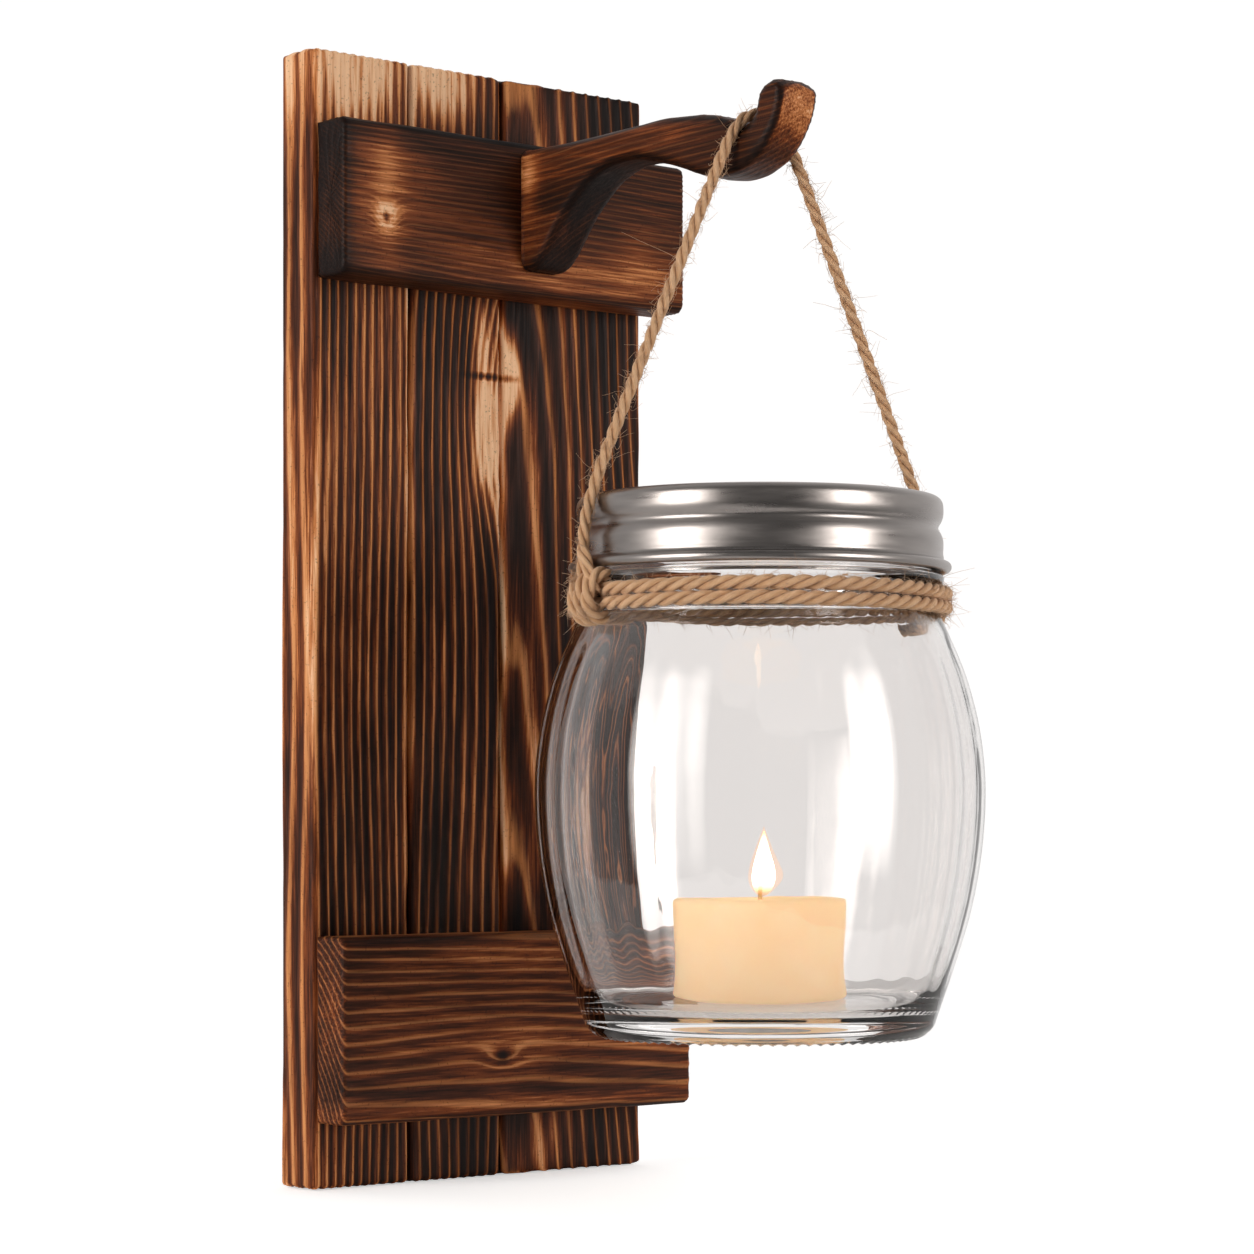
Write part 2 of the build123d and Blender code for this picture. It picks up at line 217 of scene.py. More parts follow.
def skin(name, tubes, looped=False):
    """A mesh object from rings of points, shaped (rings, places, 3), or (tubes, rings, places, 3) for many
    tubes. Each ring closes on itself. The rings close into a loop if looped, and else each end fans in to
    its ring's middle. Faces turn outwards: they are reversed if the volume, the sum of a.(b x c)/6, is negative."""
    tubes = tubes[None] if tubes.ndim == 3 else tubes
    count, rows, places = tubes.shape[:3]
    points = tubes.reshape(-1, 3)
    number = np.arange(count * rows * places).reshape(count, rows, places)
    here = number if looped else number[:, :-1]
    there = np.roll(number, -1, 1) if looped else number[:, 1:]
    quads = np.stack([here, np.roll(here, -1, 2), np.roll(there, -1, 2), there], -1).reshape(-1, 4)
    fans = np.zeros((0, 3), int)
    if not looped:
        pole = count * rows * places + np.arange(2 * count).reshape(count, 2, 1) + np.zeros(places, int)
        first, last = number[:, 0], number[:, -1]
        fans = np.concatenate([np.stack([np.roll(first, -1, 1), first, pole[:, 0]], -1).reshape(-1, 3),
                               np.stack([last, np.roll(last, -1, 1), pole[:, 1]], -1).reshape(-1, 3)])
        points = np.concatenate([points, tubes[:, [0, -1]].mean(2).reshape(-1, 3)])
    corners = np.concatenate([quads[:, :3], quads[:, [0, 2, 3]], fans])
    a, b, c = (points[corners[:, n]] for n in range(3))
    if np.einsum("ij,ij->", a, np.cross(b, c)) < 0:
        quads, fans = quads[:, ::-1], fans[:, ::-1]
    mesh = bpy.data.meshes.new(name)
    mesh.from_pydata(points.tolist(), [], quads.tolist() + fans.tolist())
    mesh.shade_smooth()
    piece = bpy.data.objects.new(name, mesh)
    scene.collection.objects.link(piece)
    return piece


def keep(piece, name, values):
    """Stores a value or a vector at each point of a skinned mesh. A pole takes its ring's mean."""
    points = len(piece.data.vertices)
    vector = values.shape[-1] == 3 and values.size > points
    kind = "FLOAT_VECTOR" if vector else "FLOAT"
    attribute = piece.data.attributes.new(name, kind, "POINT")
    attribute.data.foreach_set("vector" if vector else "value", values.astype(np.float32).ravel())


def with_poles(values, vector=False):
    """Values at rings and places, with each end ring's mean added for its pole, as skin() orders its points."""
    depth = 4 if vector else 3
    values = values[None] if values.ndim == depth - 1 else values
    width = 3 if vector else 1
    ends = values[:, [0, -1]].mean(2).reshape(-1, width)
    return np.concatenate([values.reshape(-1, width), ends])


def outwards(rings):
    """Unit normals of a grid of rings: the cross product of its two directions, turned from each ring's middle."""
    normal = np.cross(np.gradient(rings, axis=-3), np.roll(rings, -1, -2) - np.roll(rings, 1, -2))
    normal /= np.maximum(np.linalg.norm(normal, axis=-1, keepdims=True), 1e-12)
    away = np.sum(normal * (rings - rings.mean(-2, keepdims=True)))
    return normal if away > 0 else -normal


def bar_rings(low, high, along, front_ease, back_ease, end_ease, spacing, pitch):
    """Rings round a sawn bar between two corners, in mm. A ring is a rectangle with rounded corners, front ones
    larger. Near an end it draws in by e(1 - sin f) as it moves out by e(1 - cos f), and across the end it shrinks."""
    across = 2 if along == 0 else 0
    half = np.array([high[across] - low[across], high[1] - low[1]]) / 2
    middle = np.array([high[across] + low[across], high[1] + low[1]]) / 2
    fronts, sides, backs = (max(2, int(2 * s / g)) for s, g in ((half[0], spacing), (half[1], 0.9), (half[0], 2.4)))

    def ring(inset):
        parts = []
        corners = [(-1, -1, front_ease, 180, fronts), (1, -1, front_ease, 270, sides),
                   (1, 1, back_ease, 0, backs), (-1, 1, back_ease, 90, sides)]
        rounds = [max(c[2] - inset, 0.02) for c in corners]
        for n, (a, b, _, turn, straight) in enumerate(corners):
            angle = np.radians(turn + np.linspace(0, 90, 6))
            centre = (half - inset - rounds[n]) * (a, b)
            arc = centre + rounds[n] * np.stack([np.cos(angle), np.sin(angle)], 1)
            a2, b2, _, turn2, _ = corners[(n + 1) % 4]
            start = (half - inset - rounds[(n + 1) % 4]) * (a2, b2)
            start = start + rounds[(n + 1) % 4] * np.array([math.cos(math.radians(turn2)),
                                                            math.sin(math.radians(turn2))])
            share = np.linspace(0, 1, straight + 1)[1:-1, None]
            parts += [arc, arc[-1] * (1 - share) + start * share]
        return np.concatenate(parts)

    swing = np.radians(np.linspace(0, 90, 5))
    near = [(0.0, end_ease, scale) for scale in (0.12, 0.35, 0.58, 0.8, 0.93)]
    near += [(end_ease * (1 - math.cos(f)), end_ease * (1 - math.sin(f)), 1.0) for f in swing]
    length = high[along] - low[along]
    steps = int((length - 2 * end_ease) / pitch)
    body = [(s, 0.0, 1.0) for s in np.linspace(end_ease, length - end_ease, steps + 1)[1:-1]]
    far = [(length - s, inset, scale) for s, inset, scale in near[::-1]]
    shapes = {}
    rings = []
    for s, inset, scale in near + body + far:
        shapes.setdefault(inset, ring(inset))
        flat = shapes[inset] * scale + middle
        points = np.empty((len(flat), 3))
        points[:, across], points[:, 1], points[:, along] = flat[:, 0], flat[:, 1], low[along] + s
        rings.append(points)
    return np.array(rings)


def year_rings(a, b, l, wood):
    """Count of year rings at a place: its distance from the tree's heart, which leans by the taper, over the
    rings' width, with a slow wander, and pushed aside round each knot by a bell curve."""
    heart_a, heart_b = wood["heart"]
    lean = wood["taper"] * (l - wood["crown"])
    count = (np.hypot(a - heart_a, b - heart_b) + lean) / wood["width"]
    count = count + wood["wander"] * (soft_noise(a / 22, b / 22, l / 75, wood["seed"]) - 0.5)
    count = count + 0.16 * (soft_noise(a / 3, b / 3, l / 18, wood["seed"] + 1) - 0.5)
    for knot_a, knot_l, reach_a, reach_l, push in wood["knots"]:
        count = count + push * np.exp(-((a - knot_a) / reach_a) ** 2 - ((l - knot_l) / reach_l) ** 2)
    return count


def torching(a, b, l, wood, half_a, middle_a, front):
    """How burnt a place is, from 0 bare to 1 charred: an even burn with slow and quick flicker, less by a bell
    curve at each pale spot, and another amount near the long front edges."""
    burn = wood["burn"] + 0.42 * (soft_noise(a / 11, b / 11, l / 48, wood["seed"] + 2) - 0.5)
    burn = burn + 0.22 * (soft_noise(a / 2.6, b / 2.6, l / 21, wood["seed"] + 3) - 0.5)
    for spot_a, spot_l, reach_a, reach_l, less in wood["pale"]:
        burn = burn - less * np.exp(-((a - spot_a) / reach_a) ** 2 - ((l - spot_l) / reach_l) ** 2)
    edge = np.hypot(half_a - np.abs(a - middle_a), b - front)
    burn = burn + wood["edge"] * np.exp(-(edge / 1.5) ** 2)
    return np.clip(burn, 0, 1)


def late_wood(count, sharp=0.2):
    """1 on a late-wood line and 0 between lines: a smooth peak in the middle of each ring."""
    off = np.clip(np.abs(count - np.floor(count) - 0.5) / sharp, 0, 1)
    return 1 - off * off * (3 - 2 * off)


def torched_pine(name, along, line_share=0.14, line_light=1.0, ring_bump=0.16, fibre=0.32, gloss=0.46):
    """Pine, torched, brushed and oiled. along is the axis of the grain, and fibre the fibre bundles' width in
    mm, drawn at twice the real 0.15 mm so that they show. The oil leaves a soft shine on the hard lines."""
    material, tree = start_material(name)
    place = add(tree, "TexCoord").outputs["Object"]
    long_scale, cross_scale = 1 / (16 * mm), 1 / (fibre * 2 * mm)
    scale = [cross_scale] * 3
    scale[along] = long_scale
    fine = add(tree, "Mapping", {"Vector": place, "Scale": scale})
    fibres = add(tree, "TexNoise", {"Vector": fine, "Scale": 1.0, "Detail": 5.0, "Roughness": 0.62})
    broad_scale = [1 / (2.4 * mm)] * 3
    broad_scale[along] = 1 / (30 * mm)
    broad = add(tree, "Mapping", {"Vector": place, "Scale": broad_scale})
    streaks = add(tree, "TexNoise", {"Vector": broad, "Scale": 1.0, "Detail": 3.0, "Roughness": 0.55})
    specks = add(tree, "TexNoise", {"Vector": place, "Scale": 1 / (0.7 * mm), "Detail": 2.0})
    count = add(tree, "Attribute", attribute_name="year_rings").outputs["Fac"]
    burn = add(tree, "Attribute", attribute_name="burn").outputs["Fac"]
    ragged = add(tree, "Math", {0: fibres, 1: 0.14, 2: count}, operation="MULTIPLY_ADD")
    part = add(tree, "Math", {0: ragged}, operation="FRACT")
    off = add(tree, "Math", {0: part, 1: 0.57}, operation="SUBTRACT")
    off = add(tree, "Math", {0: off}, operation="ABSOLUTE")
    line = add(tree, "MapRange", {0: off, 1: 0.0, 2: line_share, 3: 1.0, 4: 0.0},
               interpolation_type="SMOOTHERSTEP")
    lit = add(tree, "MapRange", {0: streaks, 1: 0.30, 2: 0.62, 3: 0.2 * line_light, 4: line_light})
    bare = add(tree, "MapRange", {0: burn, 1: 0.0, 2: 0.15, 3: 0.22, 4: 1.0})
    lit = add(tree, "Math", {0: lit, 1: bare}, operation="MULTIPLY")
    line = add(tree, "Math", {0: line, 1: lit}, operation="MULTIPLY")
    tone = add(tree, "Math", {0: fibres, 1: 0.5}, operation="SUBTRACT")
    tone = add(tree, "Math", {0: tone, 1: 0.9, 2: burn}, operation="MULTIPLY_ADD")
    soft_wood = add(tree, "MapRange", {0: off, 1: 0.05, 2: 0.45, 3: -0.17 * line_light,
                                       4: 0.17 * line_light})
    tone = add(tree, "Math", {0: soft_wood, 1: bare, 2: tone}, operation="MULTIPLY_ADD")
    ground = add(tree, "ValToRGB", {0: tone}, stops=(
        (0.0, "#f6c89e"), (0.18, "#d08650"), (0.38, "#80411f"), (0.58, "#4a2413"), (0.78, "#2b160d"),
        (1.0, "#150c0a")))
    lines = add(tree, "ValToRGB", {0: burn}, stops=(
        (0.0, "#f6d2ae"), (0.3, "#e0a06a"), (0.6, "#d18a52"), (0.8, "#a3602f"), (1.0, "#2e1a12")))
    colour = add(tree, "Mix", {0: line, 6: ground, 7: lines}, data_type="RGBA").outputs[2]
    pores = add(tree, "MapRange", {0: specks, 1: 0.62, 2: 0.72, 3: 0.0, 4: 0.45})
    colour = add(tree, "Mix", {0: pores, 6: colour, 7: linear("#20130e")}, data_type="RGBA").outputs[2]
    rough = add(tree, "MapRange", {0: fibres, 1: 0.3, 2: 0.7, 3: gloss - 0.1, 4: gloss + 0.16})
    height = add(tree, "Math", {0: line, 1: ring_bump / 0.1, 2: fibres}, operation="MULTIPLY_ADD")
    bump = add(tree, "Bump", {"Height": height, "Distance": 0.1 * mm, "Strength": 0.8})
    shader = add(tree, "BsdfPrincipled", {"Base Color": colour, "Roughness": rough, "IOR": 1.47,
                                          "Specular IOR Level": 0.14, "Normal": bump})
    add(tree, "OutputMaterial", {"Surface": shader})
    return material


def combine(piece, other, operation):
    """Changes a piece's mesh by a boolean operation with another piece."""
    change = piece.modifiers.new("combine", "BOOLEAN")
    change.operation, change.object, change.solver = operation, other, "MANIFOLD"
    mesh = bpy.data.meshes.new_from_object(piece.evaluated_get(bpy.context.evaluated_depsgraph_get()))
    piece.modifiers.clear()
    piece.data = mesh
    mesh.name = piece.name


def wooden_bar(node, along, wood, material, relief, ease, spacing=0.4, pitch=1.3, cutter=None):
    """A torched board in place of a CAD bar: its rings, lowered by the relief between the late-wood lines and by
    wear, cut by the cutter's sinks, with ring count and burn kept at every point."""
    low, high = (np.array(corner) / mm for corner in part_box(node))
    across = 2 if along == 0 else 0
    rings = bar_rings(low, high, along, *ease, spacing, pitch)
    a, b, l = rings[..., across], rings[..., 1], rings[..., along]
    lower = relief * (1 - late_wood(year_rings(a, b, l, wood), 0.26))
    lower = lower + 0.35 * relief * soft_noise(a / 0.5, b / 0.5, l / 6, wood["seed"] + 4)
    near_edge = np.exp(-(np.hypot((high[across] - low[across]) / 2 - np.abs(a - (high[across] + low[across]) / 2),
                                  b - low[1]) / 2.2) ** 2)
    lower = lower + 0.5 * near_edge * soft_noise(a / 9, b / 9, l / 13, wood["seed"] + 5) ** 2
    piece = skin(node + "_board", (rings - outwards(rings) * lower[..., None]) * mm)
    if cutter is not None:
        combine(piece, cutter, "DIFFERENCE")
    place = np.empty(len(piece.data.vertices) * 3, np.float32)
    piece.data.vertices.foreach_get("co", place)
    place = place.reshape(-1, 3).astype(float) / mm
    a, b, l = place[:, across], place[:, 1], place[:, along]
    keep(piece, "year_rings", year_rings(a, b, l, wood))
    keep(piece, "burn", torching(a, b, l, wood, (high[across] - low[across]) / 2,
                                 (high[across] + low[across]) / 2, low[1]))
    piece.data.materials.clear()
    piece.data.materials.append(material)
    return piece


def round_ring(radius, places):
    """A circle of points in X and Z."""
    angle = np.linspace(0, 2 * np.pi, places, endpoint=False)
    return radius * np.stack([np.cos(angle), np.zeros(places), np.sin(angle)], 1)


proud = 0.3                                     # the cutters stand this far out of the back face
head_r, shank_r, sink_deep = 3.6, 1.85, 1.75
sinks = [[round_ring(r, 32) + (x, y, z) for r, y in ((head_r + proud, proud), (head_r, 0.0), (shank_r, -sink_deep))]
         for x, z in screw_spots + hook_screw_spots]
sink_cutter = skin("sink_cutter", np.array(sinks) * mm)
plate_half, plate_r, plate_z, plate_deep = 13.0, 9.1, -3.5, 1.5
half_turn = np.linspace(0, np.pi, 24)
half_end = np.stack([plate_half + plate_r * np.sin(half_turn), 0 * half_turn, plate_r * np.cos(half_turn)], 1)
stadium = np.concatenate([half_end, half_end * (-1, 1, -1)]) + (0, 0, plate_z)
let_in = skin("let_in_cutter", np.array([stadium + (0, y, 0) for y in (proud, -plate_deep)]) * mm)
pocket_ring = np.array([(-6, 0, -12), (6, 0, -12), (6, 0, 4), (-6, 0, 4)], float)
pocket = skin("pocket_cutter", np.array([pocket_ring + (0, y, 0) for y in (0.4, -8.4)]) * mm)
combine(let_in, pocket, "UNION")
combine(sink_cutter, let_in, "UNION")

plank_wood = torched_pine("torched_pine_upright", 2)
plank_woods = {
    "plank_left": dict(heart=(83, 64), width=2.35, taper=0.004, crown=0, wander=1.1, seed=11, knots=(),
                       burn=0.615, edge=-0.30,
                       pale=((-45, 10, 16, 17, 0.72), (-64, -150, 5, 400, 0.19), (-31, -100, 2, 300, 0.2),
                             (-58, -95, 5, 40, 0.2))),
    "plank_middle": dict(heart=(62, 40), width=2.7, taper=0.012, crown=0, wander=1.6, seed=23,
                         knots=((0.0, -74, 12, 30, -2.8),),
                         burn=0.76, edge=-0.34,
                         pale=((-20, 8, 17, 14, 0.88), (-4.2, -84, 4.8, 14, 1.25), (-6, -60, 4.2, 13, 0.6),
                               (-1.5, -104, 2.2, 9, 0.5), (-5, -67.5, 6, 0.5, -0.7),
                               (0.5, -110, 1.8, 160, 0.3))),
    "plank_right": dict(heart=(4, 8), width=3.1, taper=0.055, crown=-52, wander=1.3, seed=37,
                        knots=((2, -72, 4.5, 17, -0.9),),
                        burn=0.745, edge=-0.26,
                        pale=((3.4, -69, 3.0, 11, 1.05), (2.0, -67.5, 3, 0.6, -0.5),
                              (0.4, -120, 1.6, 170, 0.34), (13, -180, 4.5, 26, 0.55),
                              (11, -95, 2.2, 45, 0.35), (14, -272, 9, 10, 0.3), (46, -20, 3, 25, 0.2))),
}
for node, wood in plank_woods.items():
    board = wooden_bar(node, 2, wood, plank_wood, 0.28, (1.9, 0.7, 1.3), cutter=sink_cutter)
    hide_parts(node)
    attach(board, "board")
for cutter in (sink_cutter, let_in, pocket):
    bpy.data.objects.remove(cutter)

# ---- Battens --------------------------------------------------------------------------------------
# Two shorter pine battens lie across the planks, screwed on from behind. Their grain runs sideways,
# their long edges are rounded and charred, and each has one knot.

batten_woods = {
    "upper_batten": (dict(heart=(-78, 14), width=1.15, taper=0.006, crown=0, wander=2.4, seed=51,
                          knots=((-31.5, -47, 4.2, 3.6, 3.4),),
                          burn=0.64, edge=0.5,
                          pale=((-22, -47, 26, 6.0, 0.24), (-31.5, -47, 3.0, 2.8, 0.5), (-31.5, -47, 1.3, 1.2, -0.9),
                                (-42, 20, 7, 40, 0.32), (-34, 40, 9, 14, 0.3), (-27, -60.4, 40, 2.6, -0.34),
                                (-10, -20, 6, 30, -0.14))),
                     torched_pine("torched_pine_upper_batten", 0, line_share=0.2, line_light=0.16, ring_bump=0.05,
                                  fibre=0.26)),
    "lower_batten": (dict(heart=(-275, 30), width=1.9, taper=0.02, crown=0, wander=1.8, seed=67,
                          knots=((-246.4, -9.5, 3.4, 6.0, 1.1),),
                          burn=0.525, edge=0.46,
                          pale=((-246, -6, 7, 18, 0.2), (-246.4, -9.5, 1.6, 1.8, -0.6), (-240, -60.6, 26, 2.4, -0.05),
                                (-259, -10, 2.4, 60, 0.2))),
                     torched_pine("torched_pine_lower_batten", 0, line_share=0.17, line_light=0.48, ring_bump=0.10)),
}
for node, (wood, material) in batten_woods.items():
    batten = wooden_bar(node, 0, wood, material, 0.18, (2.5, 0.5, 1.6))
    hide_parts(node)
    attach(batten, "board")

# ---- Hook -----------------------------------------------------------------------------------------
# Bandsawn from one pine board with the grain along its arm: a tall root, an arch, a belly, a saddle
# for the twine and an upturned knob. Rounded over by hand, then charred darkest on the edges. Its
# colour also holds painted shade on the arch's underside and a painted highlight on the knob's front face.

hook_half = 6.75
hook_stations = [  # (Y, Z) of the top and of the bottom at each station, from the root out to the knob
    ((-26.5, -9.1), (-26.5, -41.0)), ((-30.5, -9.2), (-30.2, -41.0)), ((-35.0, -9.3), (-34.6, -38.0)),
    ((-44.0, -9.4), (-42.8, -28.9)), ((-58.0, -9.4), (-54.5, -20.5)), ((-72.0, -9.1), (-68.0, -17.8)),
    ((-86.0, -9.2), (-83.0, -21.1)), ((-99.0, -10.7), (-97.0, -26.0)), ((-106.5, -12.9), (-107.0, -27.0)),
    ((-112.0, -14.0), (-115.0, -25.2)), ((-115.2, -11.6), (-120.6, -21.6)), ((-117.6, -7.9), (-124.6, -16.4)),
    ((-119.8, -6.4), (-126.3, -12.2)), ((-121.8, -5.8), (-126.7, -9.6)),
]


def smooth_through(points, steps):
    """A smooth line through points, steps to each gap: Catmull-Rom, where each point's slope is half its
    neighbours' difference."""
    points = np.array(points, float)
    ends = np.vstack([2 * points[0] - points[1], points, 2 * points[-1] - points[-2]])
    slopes = (ends[2:] - ends[:-2]) / 2
    t = np.linspace(0, 1, steps, endpoint=False)[:, None, None]
    a, b, m, n = points[:-1], points[1:], slopes[:-1], slopes[1:]
    curve = (2 * t**3 - 3 * t**2 + 1) * a + (t**3 - 2 * t**2 + t) * m + (3 * t**2 - 2 * t**3) * b + (t**3 - t**2) * n
    return np.vstack([curve.transpose(1, 0, 2).reshape(-1, points.shape[1]), points[-1:]])


pairs = smooth_through([top + bottom for top, bottom in hook_stations], 9)
top, bottom = pairs[:, :2], pairs[:, 2:]
mid, reach = (top + bottom) / 2, np.linalg.norm(top - bottom, axis=1) / 2
up = (top - bottom) / (2 * reach[:, None])
saddle = np.exp(-(((top[:, 0] - axis_y) / 4.6) ** 4))
round_over = np.minimum(3.0 + 3.6 * saddle, reach - 0.05)
corner_turn = np.radians(np.linspace(0, 90, 9))


def hook_ring(index, scale=1.0):
    """A rectangle with rounded corners, higher ones rounder at the saddle, at one station of the hook."""
    h, w = reach[index], hook_half
    parts = []
    spans = [(1, 1, round_over[index], 0), (-1, 1, round_over[index], 90),
             (-1, -1, min(3.0, h - 0.05), 180), (1, -1, min(3.0, h - 0.05), 270)]
    for n, (sx, sy, r, start) in enumerate(spans):
        angle = np.radians(start) + corner_turn
        arc = np.stack([sx * (w - r) + r * np.cos(angle), sy * (h - r) + r * np.sin(angle)], 1)
        ex, ey, er, end = spans[(n + 1) % 4]
        goal = np.array([ex * (w - er) + er * math.cos(math.radians(end)),
                         ey * (h - er) + er * math.sin(math.radians(end))])
        share = np.linspace(0, 1, 18 if n % 2 else 12)[1:-1, None]
        parts += [arc, arc[-1] * (1 - share) + goal * share]
    flat = np.concatenate(parts) * scale
    return np.stack([axis_x + flat[:, 0], mid[index, 0] + up[index, 0] * flat[:, 1],
                     mid[index, 1] + up[index, 1] * flat[:, 1]], 1)


hook_rows = [hook_ring(0, scale) for scale in (0.1, 0.4, 0.7, 0.9)] + [hook_ring(n) for n in range(len(reach))]
last_ring = hook_rows[-1]
knob_out = np.array([0.0, -0.62, 0.78])
for turn in np.radians((18, 36, 54, 70, 82)):
    hook_rows.append(last_ring.mean(0) + (last_ring - last_ring.mean(0)) * math.cos(turn)
                     + knob_out * 1.5 * math.sin(turn))
hook_rings = np.array(hook_rows)
hook_wood = dict(heart=(30, -62), width=1.5, taper=0.03, crown=-60, wander=2.0, seed=83, knots=(),
                 burn=0.70, edge=0.0,
                 pale=((-18, -29, 12, 5, 0.42), (-16, -66, 5, 16, 0.08)))
x, y, z = (hook_rings[..., n] for n in range(3))
hook_count = year_rings(x, z, y, hook_wood)
worn = 0.12 * (1 - late_wood(hook_count)) + 0.35 * soft_noise(x / 8, y / 10, z / 8, 84) ** 2
worn = np.where(y > -27.0, 0.0, worn)
hook_rings = hook_rings - outwards(hook_rings) * worn[..., None]
hook = skin("hook_carved", hook_rings * mm)
hook_char_and_painted_light = torching(z, x, y, hook_wood, 50, 0, 0)
flat_side = np.abs(x - axis_x) / hook_half
corner = np.clip(1 - np.abs(flat_side - 0.86) / 0.14, 0, 1)
ups = np.array([up[0]] * 4 + list(up) + [up[-1]] * 5)[:, None]
depth_on = np.sum((hook_rings[..., 1:] - hook_rings[..., 1:].mean(1, keepdims=True)) * ups, -1)
outer = np.clip(-3.5 * depth_on / np.abs(depth_on).max(1, keepdims=True) - 2.3, 0, 1) * (flat_side < 0.8)
# Painted shade: the arch's underside is made darker. Painted highlight: the knob's front face is made lighter.
arch_underside_shade, knob_front_highlight = np.clip((y + 100) / 12, 0, 1), np.clip((-y - 110) / 9, 0, 1)
hook_char_and_painted_light = np.clip(hook_char_and_painted_light + 0.3 * corner + 0.24 * outer * arch_underside_shade - 0.42 * outer * knob_front_highlight, 0, 1)
keep(hook, "year_rings", with_poles(hook_count))
keep(hook, "burn", with_poles(hook_char_and_painted_light))
hook.data.materials.append(torched_pine("torched_pine_hook", 1, line_share=0.22, line_light=0.12, ring_bump=0.04,
                                        fibre=0.28, gloss=0.42))
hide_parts("hook")
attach(hook, "board")

# ---- Screws and keyhole hanger --------------------------------------------------------------------
# Zinc-plated countersunk wood screws, driven from behind, and a pressed steel keyhole plate that
# hangs the board on one wall screw.


def plated_steel(name, colour, rough):
    """Cold-formed steel with a thin zinc plating: a faint spangle 1.5 mm wide and fine scratches."""
    material, tree = start_material(name)
    place = add(tree, "TexCoord").outputs["Object"]
    spangle = add(tree, "TexVoronoi", {"Vector": place, "Scale": 1 / (1.5 * mm)})
    haze = add(tree, "TexNoise", {"Vector": place, "Scale": 1 / (6 * mm), "Detail": 4.0})
    tint = add(tree, "Mix", {0: haze, 6: linear(colour), 7: linear("#8d8f92")}, data_type="RGBA")
    dull = add(tree, "MapRange", {0: spangle.outputs["Distance"], 1: 0.0, 2: 0.8, 3: rough, 4: rough + 0.14})
    scratched = add(tree, "Bump", {"Height": haze, "Distance": 0.03 * mm, "Strength": 0.5})
    shader = add(tree, "BsdfPrincipled", {"Base Color": tint.outputs[2], "Metallic": 1.0,
                                          "Roughness": dull, "Normal": scratched})
    add(tree, "OutputMaterial", {"Surface": shader})
    return material


screw_zinc = plated_steel("screw_zinc", "#b8b3a2", 0.32)
hanger_zinc = plated_steel("hanger_zinc", "#c3c6ca", 0.26)
for node in ("upper_batten_screws", "lower_batten_screws", "hook_screws", "hanger_screws", "keyhole_hanger"):
    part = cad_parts[node]
    part.data.materials.clear()
    part.data.materials.append(hanger_zinc if node == "keyhole_hanger" else screw_zinc)

# ---- Glass jar ------------------------------------------------------------------------------------
# Clear soda-lime glass, blown in an iron mould: a round belly with soft upright flutes on the inside,
# a thick base on a stippled ring, a bead under the band and a thread round the neck.

flutes, flute_depth = 30, 0.22
thread_pitch, thread_high, thread_half = 6.6, 0.95, 1.15
stipples, stipple_high, foot_r = 84, 0.42, 38.6
belly_top, belly_bottom = -139.0, -228.0


def revolved(profile, places):
    """Rings that carry a profile of (radius, Z) round the jar's axis, in mm."""
    angle = np.linspace(0, 2 * np.pi, places, endpoint=False)
    r, z = (np.array(profile, float)[:, n, None] for n in range(2))
    return np.stack([axis_x + r * np.cos(angle), axis_y + r * np.sin(angle),
                     z + 0 * angle], -1)


def angle_of(rings):
    """The angle of each point round the jar's axis."""
    return np.arctan2(rings[..., 1] - axis_y, rings[..., 0] - axis_x)


def widened(rings, factor):
    """Rings with each point's distance from the jar's axis times a factor."""
    axis = np.array([axis_x, axis_y, 0.0])
    return axis + (rings - axis) * np.stack([factor, factor, np.ones_like(factor)], -1)


outer_line = smooth_through([
    (40.6, -236.9), (42.5, -234.9), (43.7, -231.6), (47.6, -220.0), (51.5, -206.8), (54.1, -192.4), (55.0, -177.6),
    (53.9, -164.6), (51.4, -153.4), (48.6, -145.4), (45.2, -137.6), (43.9, -134.4), (43.6, -131.4),
    (43.6, -128.4)], 7)
neck_line = [(43.9, -127.7), (44.6, -127.4), (45.0, -126.6), (45.0, -125.8), (44.6, -125.1), (43.2, -124.9),
             (42.2, -124.6), (42.0, -123.8)]
thread_line = [(42.0, z) for z in np.linspace(-123.0, -108.4, 36)]
lip_line = [(41.9, -107.6), (41.4, -106.95), (40.6, -106.7), (39.6, -106.75), (38.8, -107.2), (38.5, -108.0)]
inner_neck = smooth_through([(38.5, -109.0), (38.5, -117.0), (38.6, -124.6), (39.6, -129.6), (41.0, -134.0),
                             (43.2, -138.8), (46.0, -145.4), (48.7, -153.4), (51.2, -164.6), (52.2, -177.6),
                             (51.3, -192.4), (48.7, -206.8), (44.9, -219.6), (42.2, -226.4), (39.4, -230.0),
                             (34.6, -231.25)], 7)
floor_line = [(30.0, -231.3), (24.0, -231.2), (16.0, -231.0), (8.0, -230.9), (2.0, -230.85)]
under_line = [(2.0, -235.4), (10.0, -235.5), (20.0, -235.7), (30.0, -236.0), (34.6, -236.4), (36.6, -237.0),
              (37.6, -237.3), (38.6, -237.35), (39.6, -237.2)]
jar_profile = np.vstack([under_line, outer_line, neck_line, thread_line, lip_line, inner_neck, floor_line])
jar_rings = revolved(jar_profile, 480)
angle = angle_of(jar_rings)
r, z = jar_profile[:, 0][:, None] + 0 * angle, jar_rings[..., 2]
row = np.arange(len(jar_profile))[:, None] + 0 * angle
inside = row >= len(under_line) + len(outer_line) + len(neck_line) + len(thread_line) + len(lip_line)
in_belly = np.clip((z - belly_bottom) / 14, 0, 1) * np.clip((belly_top - z) / 12, 0, 1)
in_belly = in_belly * in_belly * (3 - 2 * in_belly)
flute = 0.5 + 0.5 * np.cos(flutes * angle)
push = np.where(inside, flute_depth * in_belly * (flute - 0.5), 0.10 * in_belly * (flute - 0.5))
push = push + np.where(inside, 0.30, 0.05) * (soft_noise(np.cos(angle) * 2.2, np.sin(angle) * 2.2, z / 26, 5) - 0.5)
